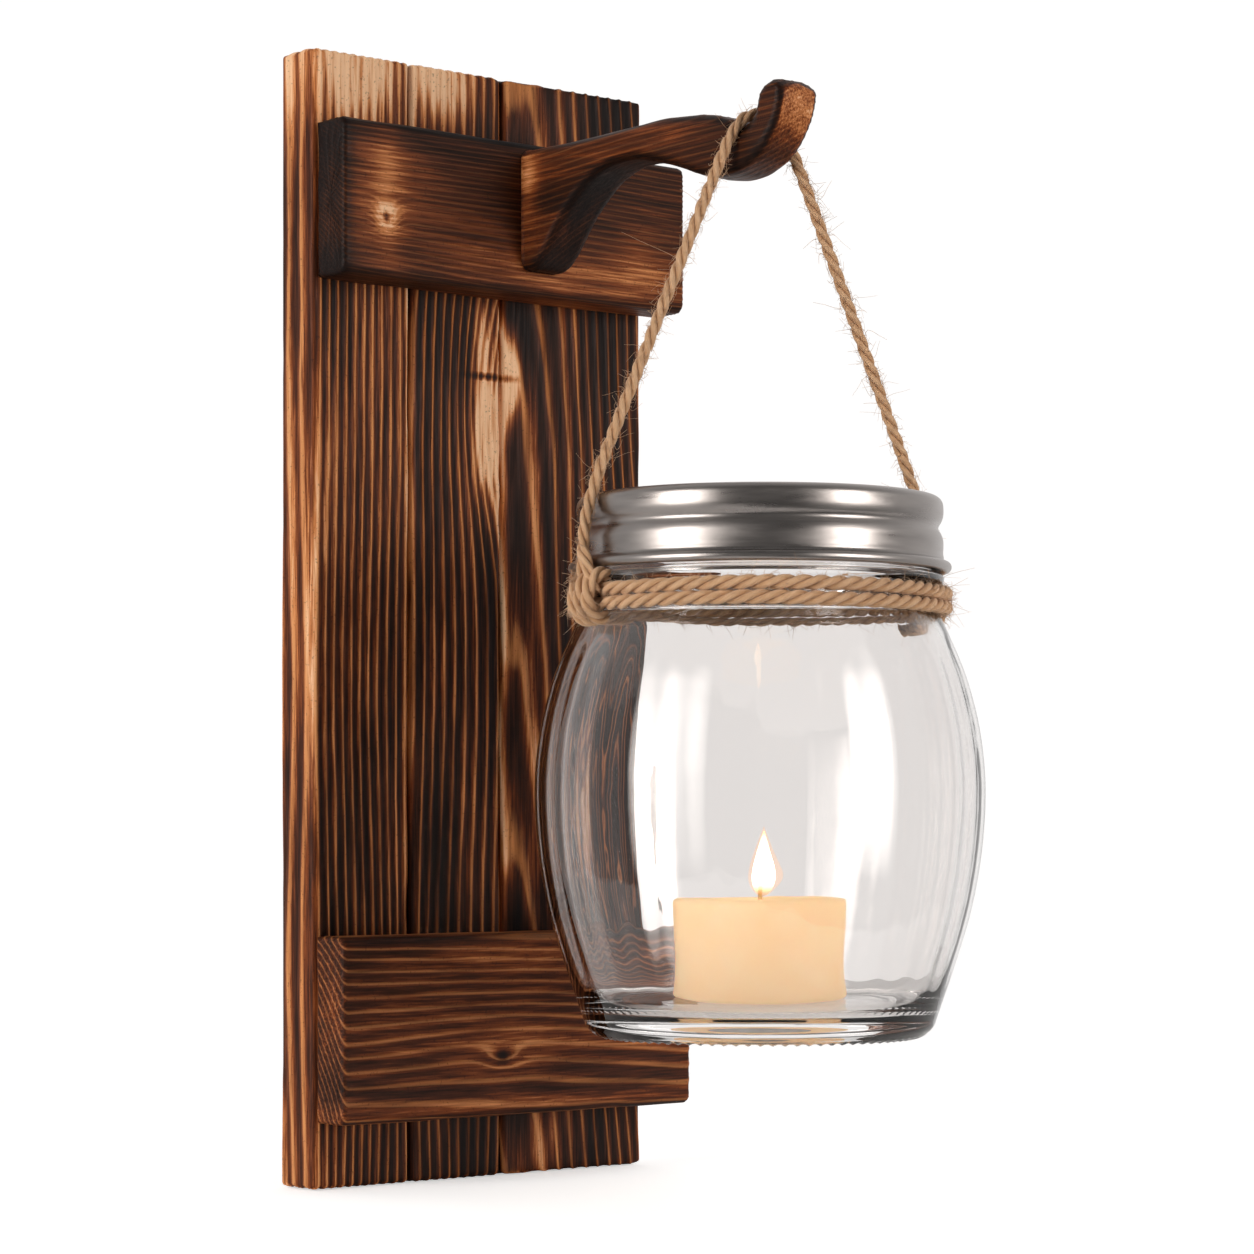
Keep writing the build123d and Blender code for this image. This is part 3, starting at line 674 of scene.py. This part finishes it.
turns = np.abs(np.mod((z + 108.2) / thread_pitch + angle / (2 * np.pi) + 0.5, 1) - 0.5) * thread_pitch
on_thread = (~inside) & (z > -121.0) & (z < -108.3) & (r > 41.5)
thread = np.where(on_thread, thread_high * np.clip(1 - (turns / thread_half) ** 2, 0, 1), 0.0)
stipple = stipple_high * np.exp(-((r - foot_r) / 1.2) ** 2) * (z < -236.8) * np.clip(np.sin(stipples * angle), 0, 1)
jar_rings = widened(jar_rings, (r + push + thread) / r)
jar_rings[..., 2] -= stipple
jar = skin("jar_blown", jar_rings * mm)
glass, tree = start_material("soda_lime_glass")
shader = add(tree, "BsdfPrincipled", {"Base Color": linear("#fdfbfa"), "Roughness": 0.0, "IOR": 1.5,
                                      "Transmission Weight": 1.0})
place = add(tree, "TexCoord").outputs["Object"]
seeds = add(tree, "TexNoise", {"Vector": place, "Scale": 1 / (9 * mm), "Detail": 1.0})
ripple = add(tree, "Bump", {"Height": seeds, "Distance": 0.10 * mm, "Strength": 0.5})
tree.links.new(ripple.outputs[0], shader.inputs["Normal"])
add(tree, "OutputMaterial", {"Surface": shader})
jar.data.materials.append(glass)
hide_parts("glass_jar")
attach(jar, "jar")

# ---- Screw band -----------------------------------------------------------------------------------
# Spun from one strip of steel: a rolled top rim, two bulges with a thread groove between them, a
# skirt, and a lower edge curled outwards into a bead. Its brush marks run round it.

band_sheet = 0.4
band_face = smooth_through([(38.9, -106.05), (41.2, -106.0), (42.8, -106.15), (43.9, -106.7), (44.6, -107.7),
                            (44.8, -109.2), (44.75, -110.8), (44.3, -112.2), (43.75, -113.1), (43.55, -113.8),
                            (43.75, -114.5), (44.3, -115.4), (44.75, -116.8), (44.8, -118.4), (44.75, -120.0),
                            (44.9, -121.0)], 6)
curl = np.radians(np.linspace(120, -215, 22))
curl_line = np.stack([45.5 + 1.3 * np.cos(curl), -123.3 + 1.3 * np.sin(curl)], 1)
band_line = np.vstack([band_face, curl_line])
step = np.gradient(band_line, axis=0)
step /= np.linalg.norm(step, axis=1, keepdims=True)
side = np.stack([step[:, 1], -step[:, 0]], 1)
band_profile = np.vstack([band_line, (band_line + side * band_sheet)[::-1]])
band_rings = revolved(band_profile, 288)
angle = angle_of(band_rings)
dent = 1 + 0.0012 * (soft_noise(np.cos(angle) * 2, np.sin(angle) * 2, band_rings[..., 2] / 7, 9) - 0.5)
band_rings = widened(band_rings, dent)
band = skin("band_spun", band_rings * mm, looped=True)
keep(band, "spun", np.stack([6 * np.cos(angle), 6 * np.sin(angle), band_rings[..., 2]], -1))
steel, tree = start_material("brushed_steel")
spun = add(tree, "Attribute", attribute_name="spun").outputs["Vector"]
lines = add(tree, "Mapping", {"Vector": spun, "Scale": (1.0, 1.0, 7.0)})
marks = add(tree, "TexNoise", {"Vector": lines, "Scale": 1.0, "Detail": 6.0, "Roughness": 0.7})
smears = add(tree, "TexNoise", {"Vector": spun, "Scale": 0.35, "Detail": 4.0})
tint = add(tree, "Mix", {0: smears, 6: linear("#8f8986"), 7: linear("#bcb6b3")}, data_type="RGBA")
dull = add(tree, "MapRange", {0: smears, 1: 0.3, 2: 0.7, 3: 0.24, 4: 0.40})
brushed = add(tree, "Bump", {"Height": marks, "Distance": 0.03 * mm, "Strength": 0.6})
shader = add(tree, "BsdfPrincipled", {"Base Color": tint.outputs[2], "Metallic": 1.0,
                                      "Roughness": dull, "Normal": brushed})
add(tree, "OutputMaterial", {"Surface": shader})
band.data.materials.append(steel)
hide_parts("screw_band")
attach(band, "band")

# ---- Candle ---------------------------------------------------------------------------------------
# A poured ivory wax candle, burnt a little way down: its rim is soft and uneven round a pool, and the
# wax near the flame has a painted glow: emission that stands in for the flame's light shining through
# it. A steel holder grips the cotton wick under it.

wax_low, wax_high = (corner.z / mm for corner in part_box("candle"))
wax_profile = np.vstack([
    [(2.2, wax_low + 0.05), (10.0, wax_low + 0.02)],
    smooth_through([(18.0, wax_low), (20.6, wax_low + 0.1), (21.4, wax_low + 1.0), (21.5, wax_low + 3.0),
                    (21.4, wax_low + 9.0), (21.35, wax_low + 16.0), (21.45, wax_high - 4.0),
                    (21.45, wax_high - 1.6), (21.0, wax_high - 0.5), (20.1, wax_high - 0.1), (19.0, wax_high - 0.4),
                    (18.0, wax_high - 1.1), (16.6, wax_high - 1.6), (12.0, wax_high - 1.8), (6.0, wax_high - 1.9),
                    (1.0, wax_high - 1.6)], 5)])
wax_rings = revolved(wax_profile, 160)
angle = angle_of(wax_rings)
r, z = wax_profile[:, 0][:, None] + 0 * angle, wax_rings[..., 2]
near_rim = np.exp(-((r - 20.0) / 2.2) ** 2) * np.clip((z - wax_high + 6) / 6, 0, 1)
wave = soft_noise(np.cos(angle) * 1.8, np.sin(angle) * 1.8, 0 * angle, 14)
wax_rings[..., 2] -= 0.8 * near_rim * wave
soft_side = 1 + 0.006 * (soft_noise(np.cos(angle) * 2.4, np.sin(angle) * 2.4, z / 9, 15) - 0.9) * (r > 18)
wax_rings = widened(wax_rings, soft_side)
candle = skin("candle_poured", wax_rings * mm)
foot_x, foot_y = axis_x + 0.8, axis_y - 0.4     # the flame stands on the wick's bent end
flame_spot = np.array([foot_x, foot_y, wax_high + 4.5])
# Painted glow: the wax's emission falls off with distance from the flame, standing in for the flame's light in the
# wax.
glow = np.exp(-np.linalg.norm(wax_rings - flame_spot, axis=-1) / 17)
keep(candle, "glow", with_poles(glow))
wax, tree = start_material("poured_wax")
painted_flame_glow = add(tree, "Attribute", attribute_name="glow").outputs["Fac"]
place = add(tree, "TexCoord").outputs["Object"]
cloud = add(tree, "TexNoise", {"Vector": place, "Scale": 1 / (7 * mm), "Detail": 3.0})
tint = add(tree, "Mix", {0: cloud, 6: linear("#f6d9a8"), 7: linear("#fae6c4")}, data_type="RGBA")
# The painted glow's emission strength.
lit = add(tree, "MapRange", {0: painted_flame_glow, 1: 0.10, 2: 0.70, 3: 0.33, 4: 0.95})
painted_glow_colour = add(tree, "Mix", {0: painted_flame_glow, 6: linear("#f6b882"), 7: linear("#ffd896")}, data_type="RGBA")
dimple = add(tree, "Bump", {"Height": cloud, "Distance": 0.25 * mm, "Strength": 0.4})
shader = add(tree, "BsdfPrincipled", {
    "Base Color": tint.outputs[2], "Roughness": 0.42, "IOR": 1.44, "Subsurface Weight": 0.5,
    "Subsurface Radius": (1.0, 0.6, 0.35), "Subsurface Scale": 5 * mm, "Normal": dimple,
    "Emission Color": painted_glow_colour.outputs[2], "Emission Strength": lit})
add(tree, "OutputMaterial", {"Surface": shader})
candle.data.materials.append(wax)
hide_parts("candle")
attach(candle, "candle")

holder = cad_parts["wick_holder"]
holder.data.materials.clear()
holder.data.materials.append(plated_steel("holder_tin", "#c9c9c6", 0.3))

wick_low, wick_high = (corner.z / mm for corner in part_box("wick"))
wick_line = smooth_through([(axis_x, axis_y, wick_low), (axis_x, axis_y, wax_high - 3),
                            (axis_x + 0.05, axis_y, wax_high + 1.4),
                            (axis_x + 0.7, axis_y - 0.25, wick_high - 0.9),
                            (axis_x + 1.3, axis_y - 0.5, wick_high - 0.3)], 14)
turn = np.linspace(0, 2 * np.pi, 18, endpoint=False)
along = np.arange(len(wick_line))[:, None]
plait = 0.62 + 0.14 * np.abs(np.sin(1.5 * turn + along * 0.55)) ** 0.7
wick_rings = np.stack([wick_line[:, None, 0] + plait * np.cos(turn), wick_line[:, None, 1] + plait * np.sin(turn),
                       wick_line[:, None, 2] + 0 * plait], -1)
wick = skin("wick_plaited", wick_rings * mm)
cotton, tree = start_material("waxed_cotton")
place = add(tree, "TexCoord").outputs["Object"]
height = add(tree, "SeparateXYZ", {0: place}).outputs["Z"]
burnt = add(tree, "MapRange", {0: height, 1: (wax_high - 1.0) * mm, 2: (wax_high + 1.6) * mm})
threads = add(tree, "TexNoise", {"Vector": place, "Scale": 1 / (0.2 * mm), "Detail": 2.0})
tint = add(tree, "Mix", {0: burnt, 6: linear("#d8b98a"), 7: linear("#1c120e")}, data_type="RGBA")
fuzz = add(tree, "Bump", {"Height": threads, "Distance": 0.08 * mm})
shader = add(tree, "BsdfPrincipled", {"Base Color": tint.outputs[2], "Roughness": 0.85, "Normal": fuzz})
add(tree, "OutputMaterial", {"Surface": shader})
wick.data.materials.append(cotton)
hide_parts("wick")
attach(wick, "candle")

# The flame stands on the wick's bent end: white where it burns hottest, yellow to orange at its tip,
# and nearly clear where the vapour starts to burn at its foot.
flame_low, flame_high, flame_r = wax_high - 0.2, wax_high + 15.6, 3.9
rise = np.linspace(0, 1, 48)
swell = flame_r * np.sin(np.pi * np.clip(rise, 0, 1) ** 0.62) ** 0.85 * (1 - 0.25 * rise)
swell = np.maximum(swell, 0.12)
lean = 0.5 * rise**2
flame_turn = np.linspace(0, 2 * np.pi, 40, endpoint=False)
flame_rings = np.stack([foot_x + lean[:, None] + swell[:, None] * np.cos(flame_turn),
                        foot_y + swell[:, None] * np.sin(flame_turn),
                        flame_low + (flame_high - flame_low) * rise[:, None] + 0 * flame_turn], -1)
core = skin("flame", flame_rings * mm)
flame_axis = flame_rings.mean(1, keepdims=True)
mantle_rings = flame_axis + (flame_rings - flame_axis) * 1.28 + np.array([0, 0, 1.2]) * rise[:, None, None]
mantle = skin("flame_mantle", mantle_rings * mm)
for shell in (core, mantle):
    keep(shell, "rise", with_poles(rise[:, None] + 0 * flame_turn))
burning, tree = start_material("burning_wax_vapour")
rise_at = add(tree, "Attribute", attribute_name="rise").outputs["Fac"]
heat = add(tree, "ValToRGB", {0: rise_at}, stops=(
    (0.0, "#ff9a3c"), (0.12, "#ffd9a0"), (0.3, "#fff6e2"), (0.7, "#fff3d0"), (1.0, "#ffb454")))
power = add(tree, "MapRange", {0: rise_at, 1: 0.0, 2: 0.3, 3: 0.6, 4: 6.0})
veil = add(tree, "MapRange", {0: rise_at, 1: 0.02, 2: 0.22, 3: 0.15, 4: 1.0})
shader = add(tree, "BsdfPrincipled", {"Base Color": (0, 0, 0, 1), "Roughness": 1.0,
                                      "Specular IOR Level": 0.0, "Emission Color": heat,
                                      "Emission Strength": power, "Alpha": veil})
add(tree, "OutputMaterial", {"Surface": shader})
core.data.materials.append(burning)
edge, tree = start_material("flame_edge")
shader = add(tree, "BsdfPrincipled", {"Base Color": (0, 0, 0, 1), "Roughness": 1.0,
                                      "Specular IOR Level": 0.0, "Emission Color": linear("#ffb873"),
                                      "Emission Strength": 1.7, "Alpha": 0.13})
add(tree, "OutputMaterial", {"Surface": shader})
mantle.data.materials.append(edge)
for shell in (core, mantle):
    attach(shell, "candle")

# ---- Twine ----------------------------------------------------------------------------------------
# Three-ply jute, about 3 mm thick: a handle over the saddle, down both sides of the band, hitched to
# two turns round the neck. Loose fibres stand off it everywhere.

twine_d, wrap_d = 2.9, 3.4                      # pulled thin on the handle, fuller round the neck
lay_pitch = 13.0                                # one turn of a yarn round the twine
yarn_off, yarn_r = 0.268, 0.25                  # a yarn's place and radius, as shares of the thickness
loop_turn = math.radians(12)
loop_way = np.array([math.cos(loop_turn), -math.sin(loop_turn), 0.0])
jar_spot = np.array([axis_x, axis_y, 0.0])
handle_ahead = np.array([math.sin(loop_turn), math.cos(loop_turn), 0.0])


def loop_point(reach, z, ahead=0.0):
    """A point of the handle's plane by its distance from the jar's axis, or that much in front of the plane."""
    return jar_spot + loop_way * reach - handle_ahead * ahead + (0, 0, z)


def laid_line(points, spacing):
    """The smooth line of a quadratic NURBS curve on given points in mm, at even steps of about the spacing."""
    curve = bpy.data.curves.new("lay", "CURVE")
    curve.dimensions = "3D"
    spline = curve.splines.new("NURBS")
    spline.points.add(len(points) - 1)
    for knot, point in zip(spline.points, points):
        knot.co = (*(np.array(point) * mm), 1)
    spline.order_u = 3
    spline.use_endpoint_u = True
    spline.resolution_u = 40
    holder = bpy.data.objects.new("lay", curve)
    mesh = bpy.data.meshes.new_from_object(holder)
    line = np.array([vertex.co for vertex in mesh.vertices]) / mm
    bpy.data.objects.remove(holder)
    run = np.concatenate([[0], np.cumsum(np.linalg.norm(np.diff(line, axis=0), axis=1))])
    even = np.linspace(0, run[-1], max(8, int(run[-1] / spacing)))
    return np.stack([np.interp(even, run, line[:, n]) for n in range(3)], 1)


def beside(line, side):
    """The directions along a line and two directions square to it, the first as near the side as can be."""
    way = np.gradient(line, axis=0)
    way /= np.linalg.norm(way, axis=1, keepdims=True)
    one = side - way * np.sum(way * side, axis=1, keepdims=True)
    one /= np.linalg.norm(one, axis=1, keepdims=True)
    return way, one, np.cross(way, one)


def lay_twine(name, line, side, seed, thick, taper=(True, True)):
    """Three yarns round a line. A yarn's middle circles the line at its share of the twine's thickness, once in
    each pitch, against the clock. Its skin is a circle about that, furrowed by sin(7t + s). Cut ends draw in.
    Each point keeps a painted light: 1 on a yarn's outer crest, 0 on its side toward the core, as painted shade in
    the grooves."""
    way, one, two = beside(line, side)
    s = np.concatenate([[0], np.cumsum(np.linalg.norm(np.diff(line, axis=0), axis=1))])
    around = np.linspace(0, 2 * np.pi, 16, endpoint=False)
    yarns, kept, crest_lights_painted = [], [], []
    for yarn in range(3):
        turn = -2 * np.pi * (s / lay_pitch + yarn / 3)
        out = one * np.cos(turn)[:, None] + two * np.sin(turn)[:, None]
        middle = line + out * yarn_off * thick
        yarn_way = np.gradient(middle, axis=0)
        yarn_way /= np.linalg.norm(yarn_way, axis=1, keepdims=True)
        across = np.cross(yarn_way, out)
        furrow = 1 + 0.055 * np.sin(7 * around[None] + s[:, None] * 1.9 + yarn) ** 3
        furrow = furrow + 0.10 * (soft_noise(np.cos(around)[None] * 1.6 + 9 * yarn, np.sin(around)[None] * 1.6,
                                             s[:, None] / 3.2, seed) - 0.5)
        draw = np.ones(len(s))
        if taper[0]:
            draw *= np.clip((s - s[0]) / 1.2, 0.25, 1)
        if taper[1]:
            draw *= np.clip((s[-1] - s) / 1.2, 0.25, 1)
        radius = yarn_r * thick * furrow * draw[:, None]
        yarns.append(middle[:, None] + radius[..., None] * (out[:, None] * np.cos(around)[None, :, None]
                                                             + across[:, None] * np.sin(around)[None, :, None]))
        kept.append(np.stack([np.cos(around)[None] + 0 * radius + 7 * yarn, np.sin(around)[None] + 0 * radius,
                              s[:, None] + 0 * radius], -1))
        # Painted light: 1 on the yarn's outer crest, 0 in the grooves between yarns, where the colour takes painted
        # shade.
        crest_lights_painted.append(0.5 + 0.5 * np.cos(around)[None] + 0 * radius)
    twine = skin(name, np.array(yarns) * mm)
    keep(twine, "lie", with_poles(np.array(kept), vector=True))
    keep(twine, "painted_crest_light", with_poles(np.array(crest_lights_painted)))
    twine.data.materials.append(jute)
    return twine


def loose_fibres(name, line, side, seed, per_mm, reach=2.3):
    """Fibres that stand off a line of twine. Each is a thread of five lengths that starts in the yarns, swings
    along them by a sine of its length, curls sideways by its square, and thins to its end."""
    draw = np.random.default_rng(seed)
    way, one, two = beside(line, side)
    count = int(per_mm * np.linalg.norm(np.diff(line, axis=0), axis=1).sum())
    at = draw.integers(2, len(line) - 2, count)
    angle = draw.uniform(0, 2 * np.pi, count)
    out = one[at] * np.cos(angle)[:, None] + two[at] * np.sin(angle)[:, None]
    sideways = two[at] * np.cos(angle)[:, None] - one[at] * np.sin(angle)[:, None]
    length = draw.gamma(2.0, reach / 5, count)[:, None] + 0.7
    lean = draw.normal(0, 1.0, (count, 1)) * length
    curl = draw.normal(0, 1.2, (count, 1)) * length
    t = np.linspace(0, 1, 6)[:, None, None]
    spine = (line[at] + out * 1.2) + out * length * t * (1 - 0.55 * t)
    spine = spine + way[at] * lean * np.sin(4 * t) / 2 + sideways * curl * t**2
    ahead = np.gradient(spine, axis=0)
    ahead /= np.linalg.norm(ahead, axis=-1, keepdims=True)
    u = np.cross(ahead, out[None] + 0.3 * way[at][None])
    u /= np.linalg.norm(u, axis=-1, keepdims=True)
    v = np.cross(ahead, u)
    thick = draw.uniform(0.05, 0.09, (1, count, 1)) * (1 - 0.6 * t)
    corners = np.linspace(0, 2 * np.pi, 3, endpoint=False)
    tubes = np.stack([spine + thick * (u * math.cos(c) + v * math.sin(c)) for c in corners], 2)
    fibres = skin(name, tubes.transpose(1, 0, 2, 3) * mm)
    fibres.data.materials.append(jute_fibre)
    return fibres


jute, tree = start_material("jute_yarn")
lie = add(tree, "Attribute", attribute_name="lie").outputs["Vector"]
stretched = add(tree, "Mapping", {"Vector": lie, "Scale": (4.5, 4.5, 0.55)})
strands = add(tree, "TexNoise", {"Vector": stretched, "Scale": 1.0, "Detail": 5.0, "Roughness": 0.65})
patches = add(tree, "TexNoise", {"Vector": lie, "Scale": 0.22, "Detail": 2.0})
crest_light_painted = add(tree, "Attribute", attribute_name="painted_crest_light").outputs["Fac"]
tone = add(tree, "Math", {0: strands, 1: 1.0, 2: -0.34}, operation="MULTIPLY_ADD")
# Painted light: the crests are lightened and the grooves between yarns darkened as painted shade.
tone = add(tree, "Math", {0: crest_light_painted, 1: 0.5, 2: tone}, operation="MULTIPLY_ADD")
shade = add(tree, "ValToRGB", {0: tone}, stops=((0.08, "#6a4228"), (0.42, "#c49468"), (0.8, "#f3d0aa")))
colour = add(tree, "Mix", {0: patches, 6: shade, 7: linear("#cb9c70")}, data_type="RGBA")
colour.inputs[0].default_value = 0.3
hairy = add(tree, "Bump", {"Height": strands, "Distance": 0.3 * mm, "Strength": 1.0})
shader = add(tree, "BsdfPrincipled", {"Base Color": colour.outputs[2], "Roughness": 0.78,
                                      "Sheen Weight": 0.25, "Sheen Roughness": 0.5, "Normal": hairy})
add(tree, "OutputMaterial", {"Surface": shader})
jute_fibre, tree = start_material("jute_fibre")
place = add(tree, "TexCoord").outputs["Object"]
uneven = add(tree, "TexNoise", {"Vector": place, "Scale": 1 / (2.5 * mm), "Detail": 1.0})
tint = add(tree, "Mix", {0: uneven, 6: linear("#a67650"), 7: linear("#e0bd98")}, data_type="RGBA")
shader = add(tree, "BsdfPrincipled", {"Base Color": tint.outputs[2], "Roughness": 0.7,
                                      "Sheen Weight": 0.2})
add(tree, "OutputMaterial", {"Surface": shader})

# The handle: straight from the left leg to the saddle, round it, and straight to the right leg.
pivot_z, bend_r = -20.75, 8.85
lean = math.radians(23.354)
shoulder = (47.4, -108.2)                       # where the twine bends over the band's shoulder
leave = (bend_r * math.cos(lean), pivot_z + bend_r * math.sin(lean))
cut_up = 16.0                                   # the handle and its legs meet this far above the shoulder
down = np.array([shoulder[0] - leave[0], shoulder[1] - leave[1]])
down /= np.linalg.norm(down)
meet = (shoulder[0] - down[0] * cut_up, shoulder[1] - down[1] * cut_up)
near_hook = (leave[0] + down[0] * 6 * twine_d, leave[1] + down[1] * 6 * twine_d)
corner_reach, corner_top = 6.6, -14.3           # the bend's three corners stand a little outside it
route = [loop_point(-meet[0], meet[1]), loop_point(-near_hook[0], near_hook[1]),
         loop_point(-corner_reach, corner_top), loop_point(0, -11.6), loop_point(corner_reach, corner_top),
         loop_point(near_hook[0], near_hook[1]), loop_point(meet[0], meet[1])]
handle_line = laid_line(route, 0.5)
handle = lay_twine("twine_handle", handle_line, handle_ahead, 101, twine_d, taper=(False, False))
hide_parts("twine_bight", "twine_strand_left", "twine_strand_right")
handle_fluff = loose_fibres("twine_handle_fibres", handle_line, handle_ahead, 102, 6.0)
for part in (handle, handle_fluff):
    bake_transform(part)

# Two turns round the neck, laid by hand, so they rise and fall a little and part on the left.
wrap_r, wrap_top, wrap_low = 45.3, -129.7, -133.2
turn_points = []
for n in range(33):
    turned = n / 16
    angle = math.radians(95) - 2 * math.pi * turned
    fall = min(max((turned - 0.93) / 0.14, 0), 1)
    rise = 0.25 * math.sin(3 * angle + 1.1 + turned) + 0.12 * math.sin(7 * angle)
    reach = wrap_r * (1 + 0.0194) + 0.12 * math.sin(5 * angle)
    turn_points.append(jar_spot + (reach * math.cos(angle), reach * math.sin(angle),
                                   wrap_top + (wrap_low - wrap_top) * fall + rise))
wrap_line = laid_line(turn_points, 0.55)
wraps = lay_twine("twine_wraps", wrap_line, np.array([0.0, 0.0, 1.0]), 111, wrap_d)
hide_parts("twine_neck_wraps")
wrap_fluff = loose_fibres("twine_wrap_fibres", wrap_line, np.array([0.0, 0.0, 1.0]), 112, 5.0)

# Each leg runs down over the band's bead to the turns, where a hitch binds it and its tail.
for sign, name in ((-1, "left"), (1, "right")):
    leg_route = [loop_point(sign * meet[0], meet[1]), loop_point(sign * shoulder[0], shoulder[1]),
                 loop_point(sign * 48.9, -121.5), loop_point(sign * 48.6, -131.0)]
    leg_line = laid_line(leg_route, 0.5)
    leg = lay_twine(f"twine_leg_{name}", leg_line, handle_ahead, 120 + sign, twine_d, taper=(False, True))
    leg_fluff = loose_fibres(f"twine_leg_fibres_{name}", leg_line, handle_ahead, 130 + sign, 7.0)
    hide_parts(f"twine_riser_{name}")
    for part in (leg, leg_fluff):
        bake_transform(part)
    tail_line = laid_line([loop_point(sign * 49.0, -119.6, 0.6), loop_point(sign * 49.2, -123.6, 3.0),
                           loop_point(sign * 48.6, -128.0, 4.6), loop_point(sign * 47.6, -131.2, 5.2)], 0.5)
    tail = lay_twine(f"twine_tail_{name}", tail_line, handle_ahead, 140 + sign, twine_d)
    knot_parts = [tail]
    for turn_number, (ahead, wide) in enumerate(((-2.2, 0.0), (1.3, 0.25), (4.6, -0.1))):
        bent = np.radians(np.linspace(118, -122, 9))
        ring_line = laid_line([loop_point(sign * (45.6 + (4.4 + wide) * math.cos(t)),
                                          -131.5 + (5.6 + wide) * math.sin(t), ahead + 0.5 * math.sin(t))
                               for t in bent], 0.5)
        knot_parts.append(lay_twine(f"twine_hitch_{name}_{turn_number}", ring_line, handle_ahead,
                                    150 + turn_number + 5 * sign, wrap_d))
    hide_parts(f"twine_knot_{name}")
    knot_line = laid_line([loop_point(sign * 48.6, -126.0, -3), loop_point(sign * 49.6, -131.6, 1.5),
                           loop_point(sign * 48.2, -137.0, 5)], 0.4)
    knot_fluff = loose_fibres(f"twine_knot_fibres_{name}", knot_line, handle_ahead, 160 + sign, 40.0, reach=3.0)
    knot_parts.append(knot_fluff)
    for part in knot_parts:
        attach(part, "jar")

for part in (wraps, wrap_fluff):
    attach(part, "jar")
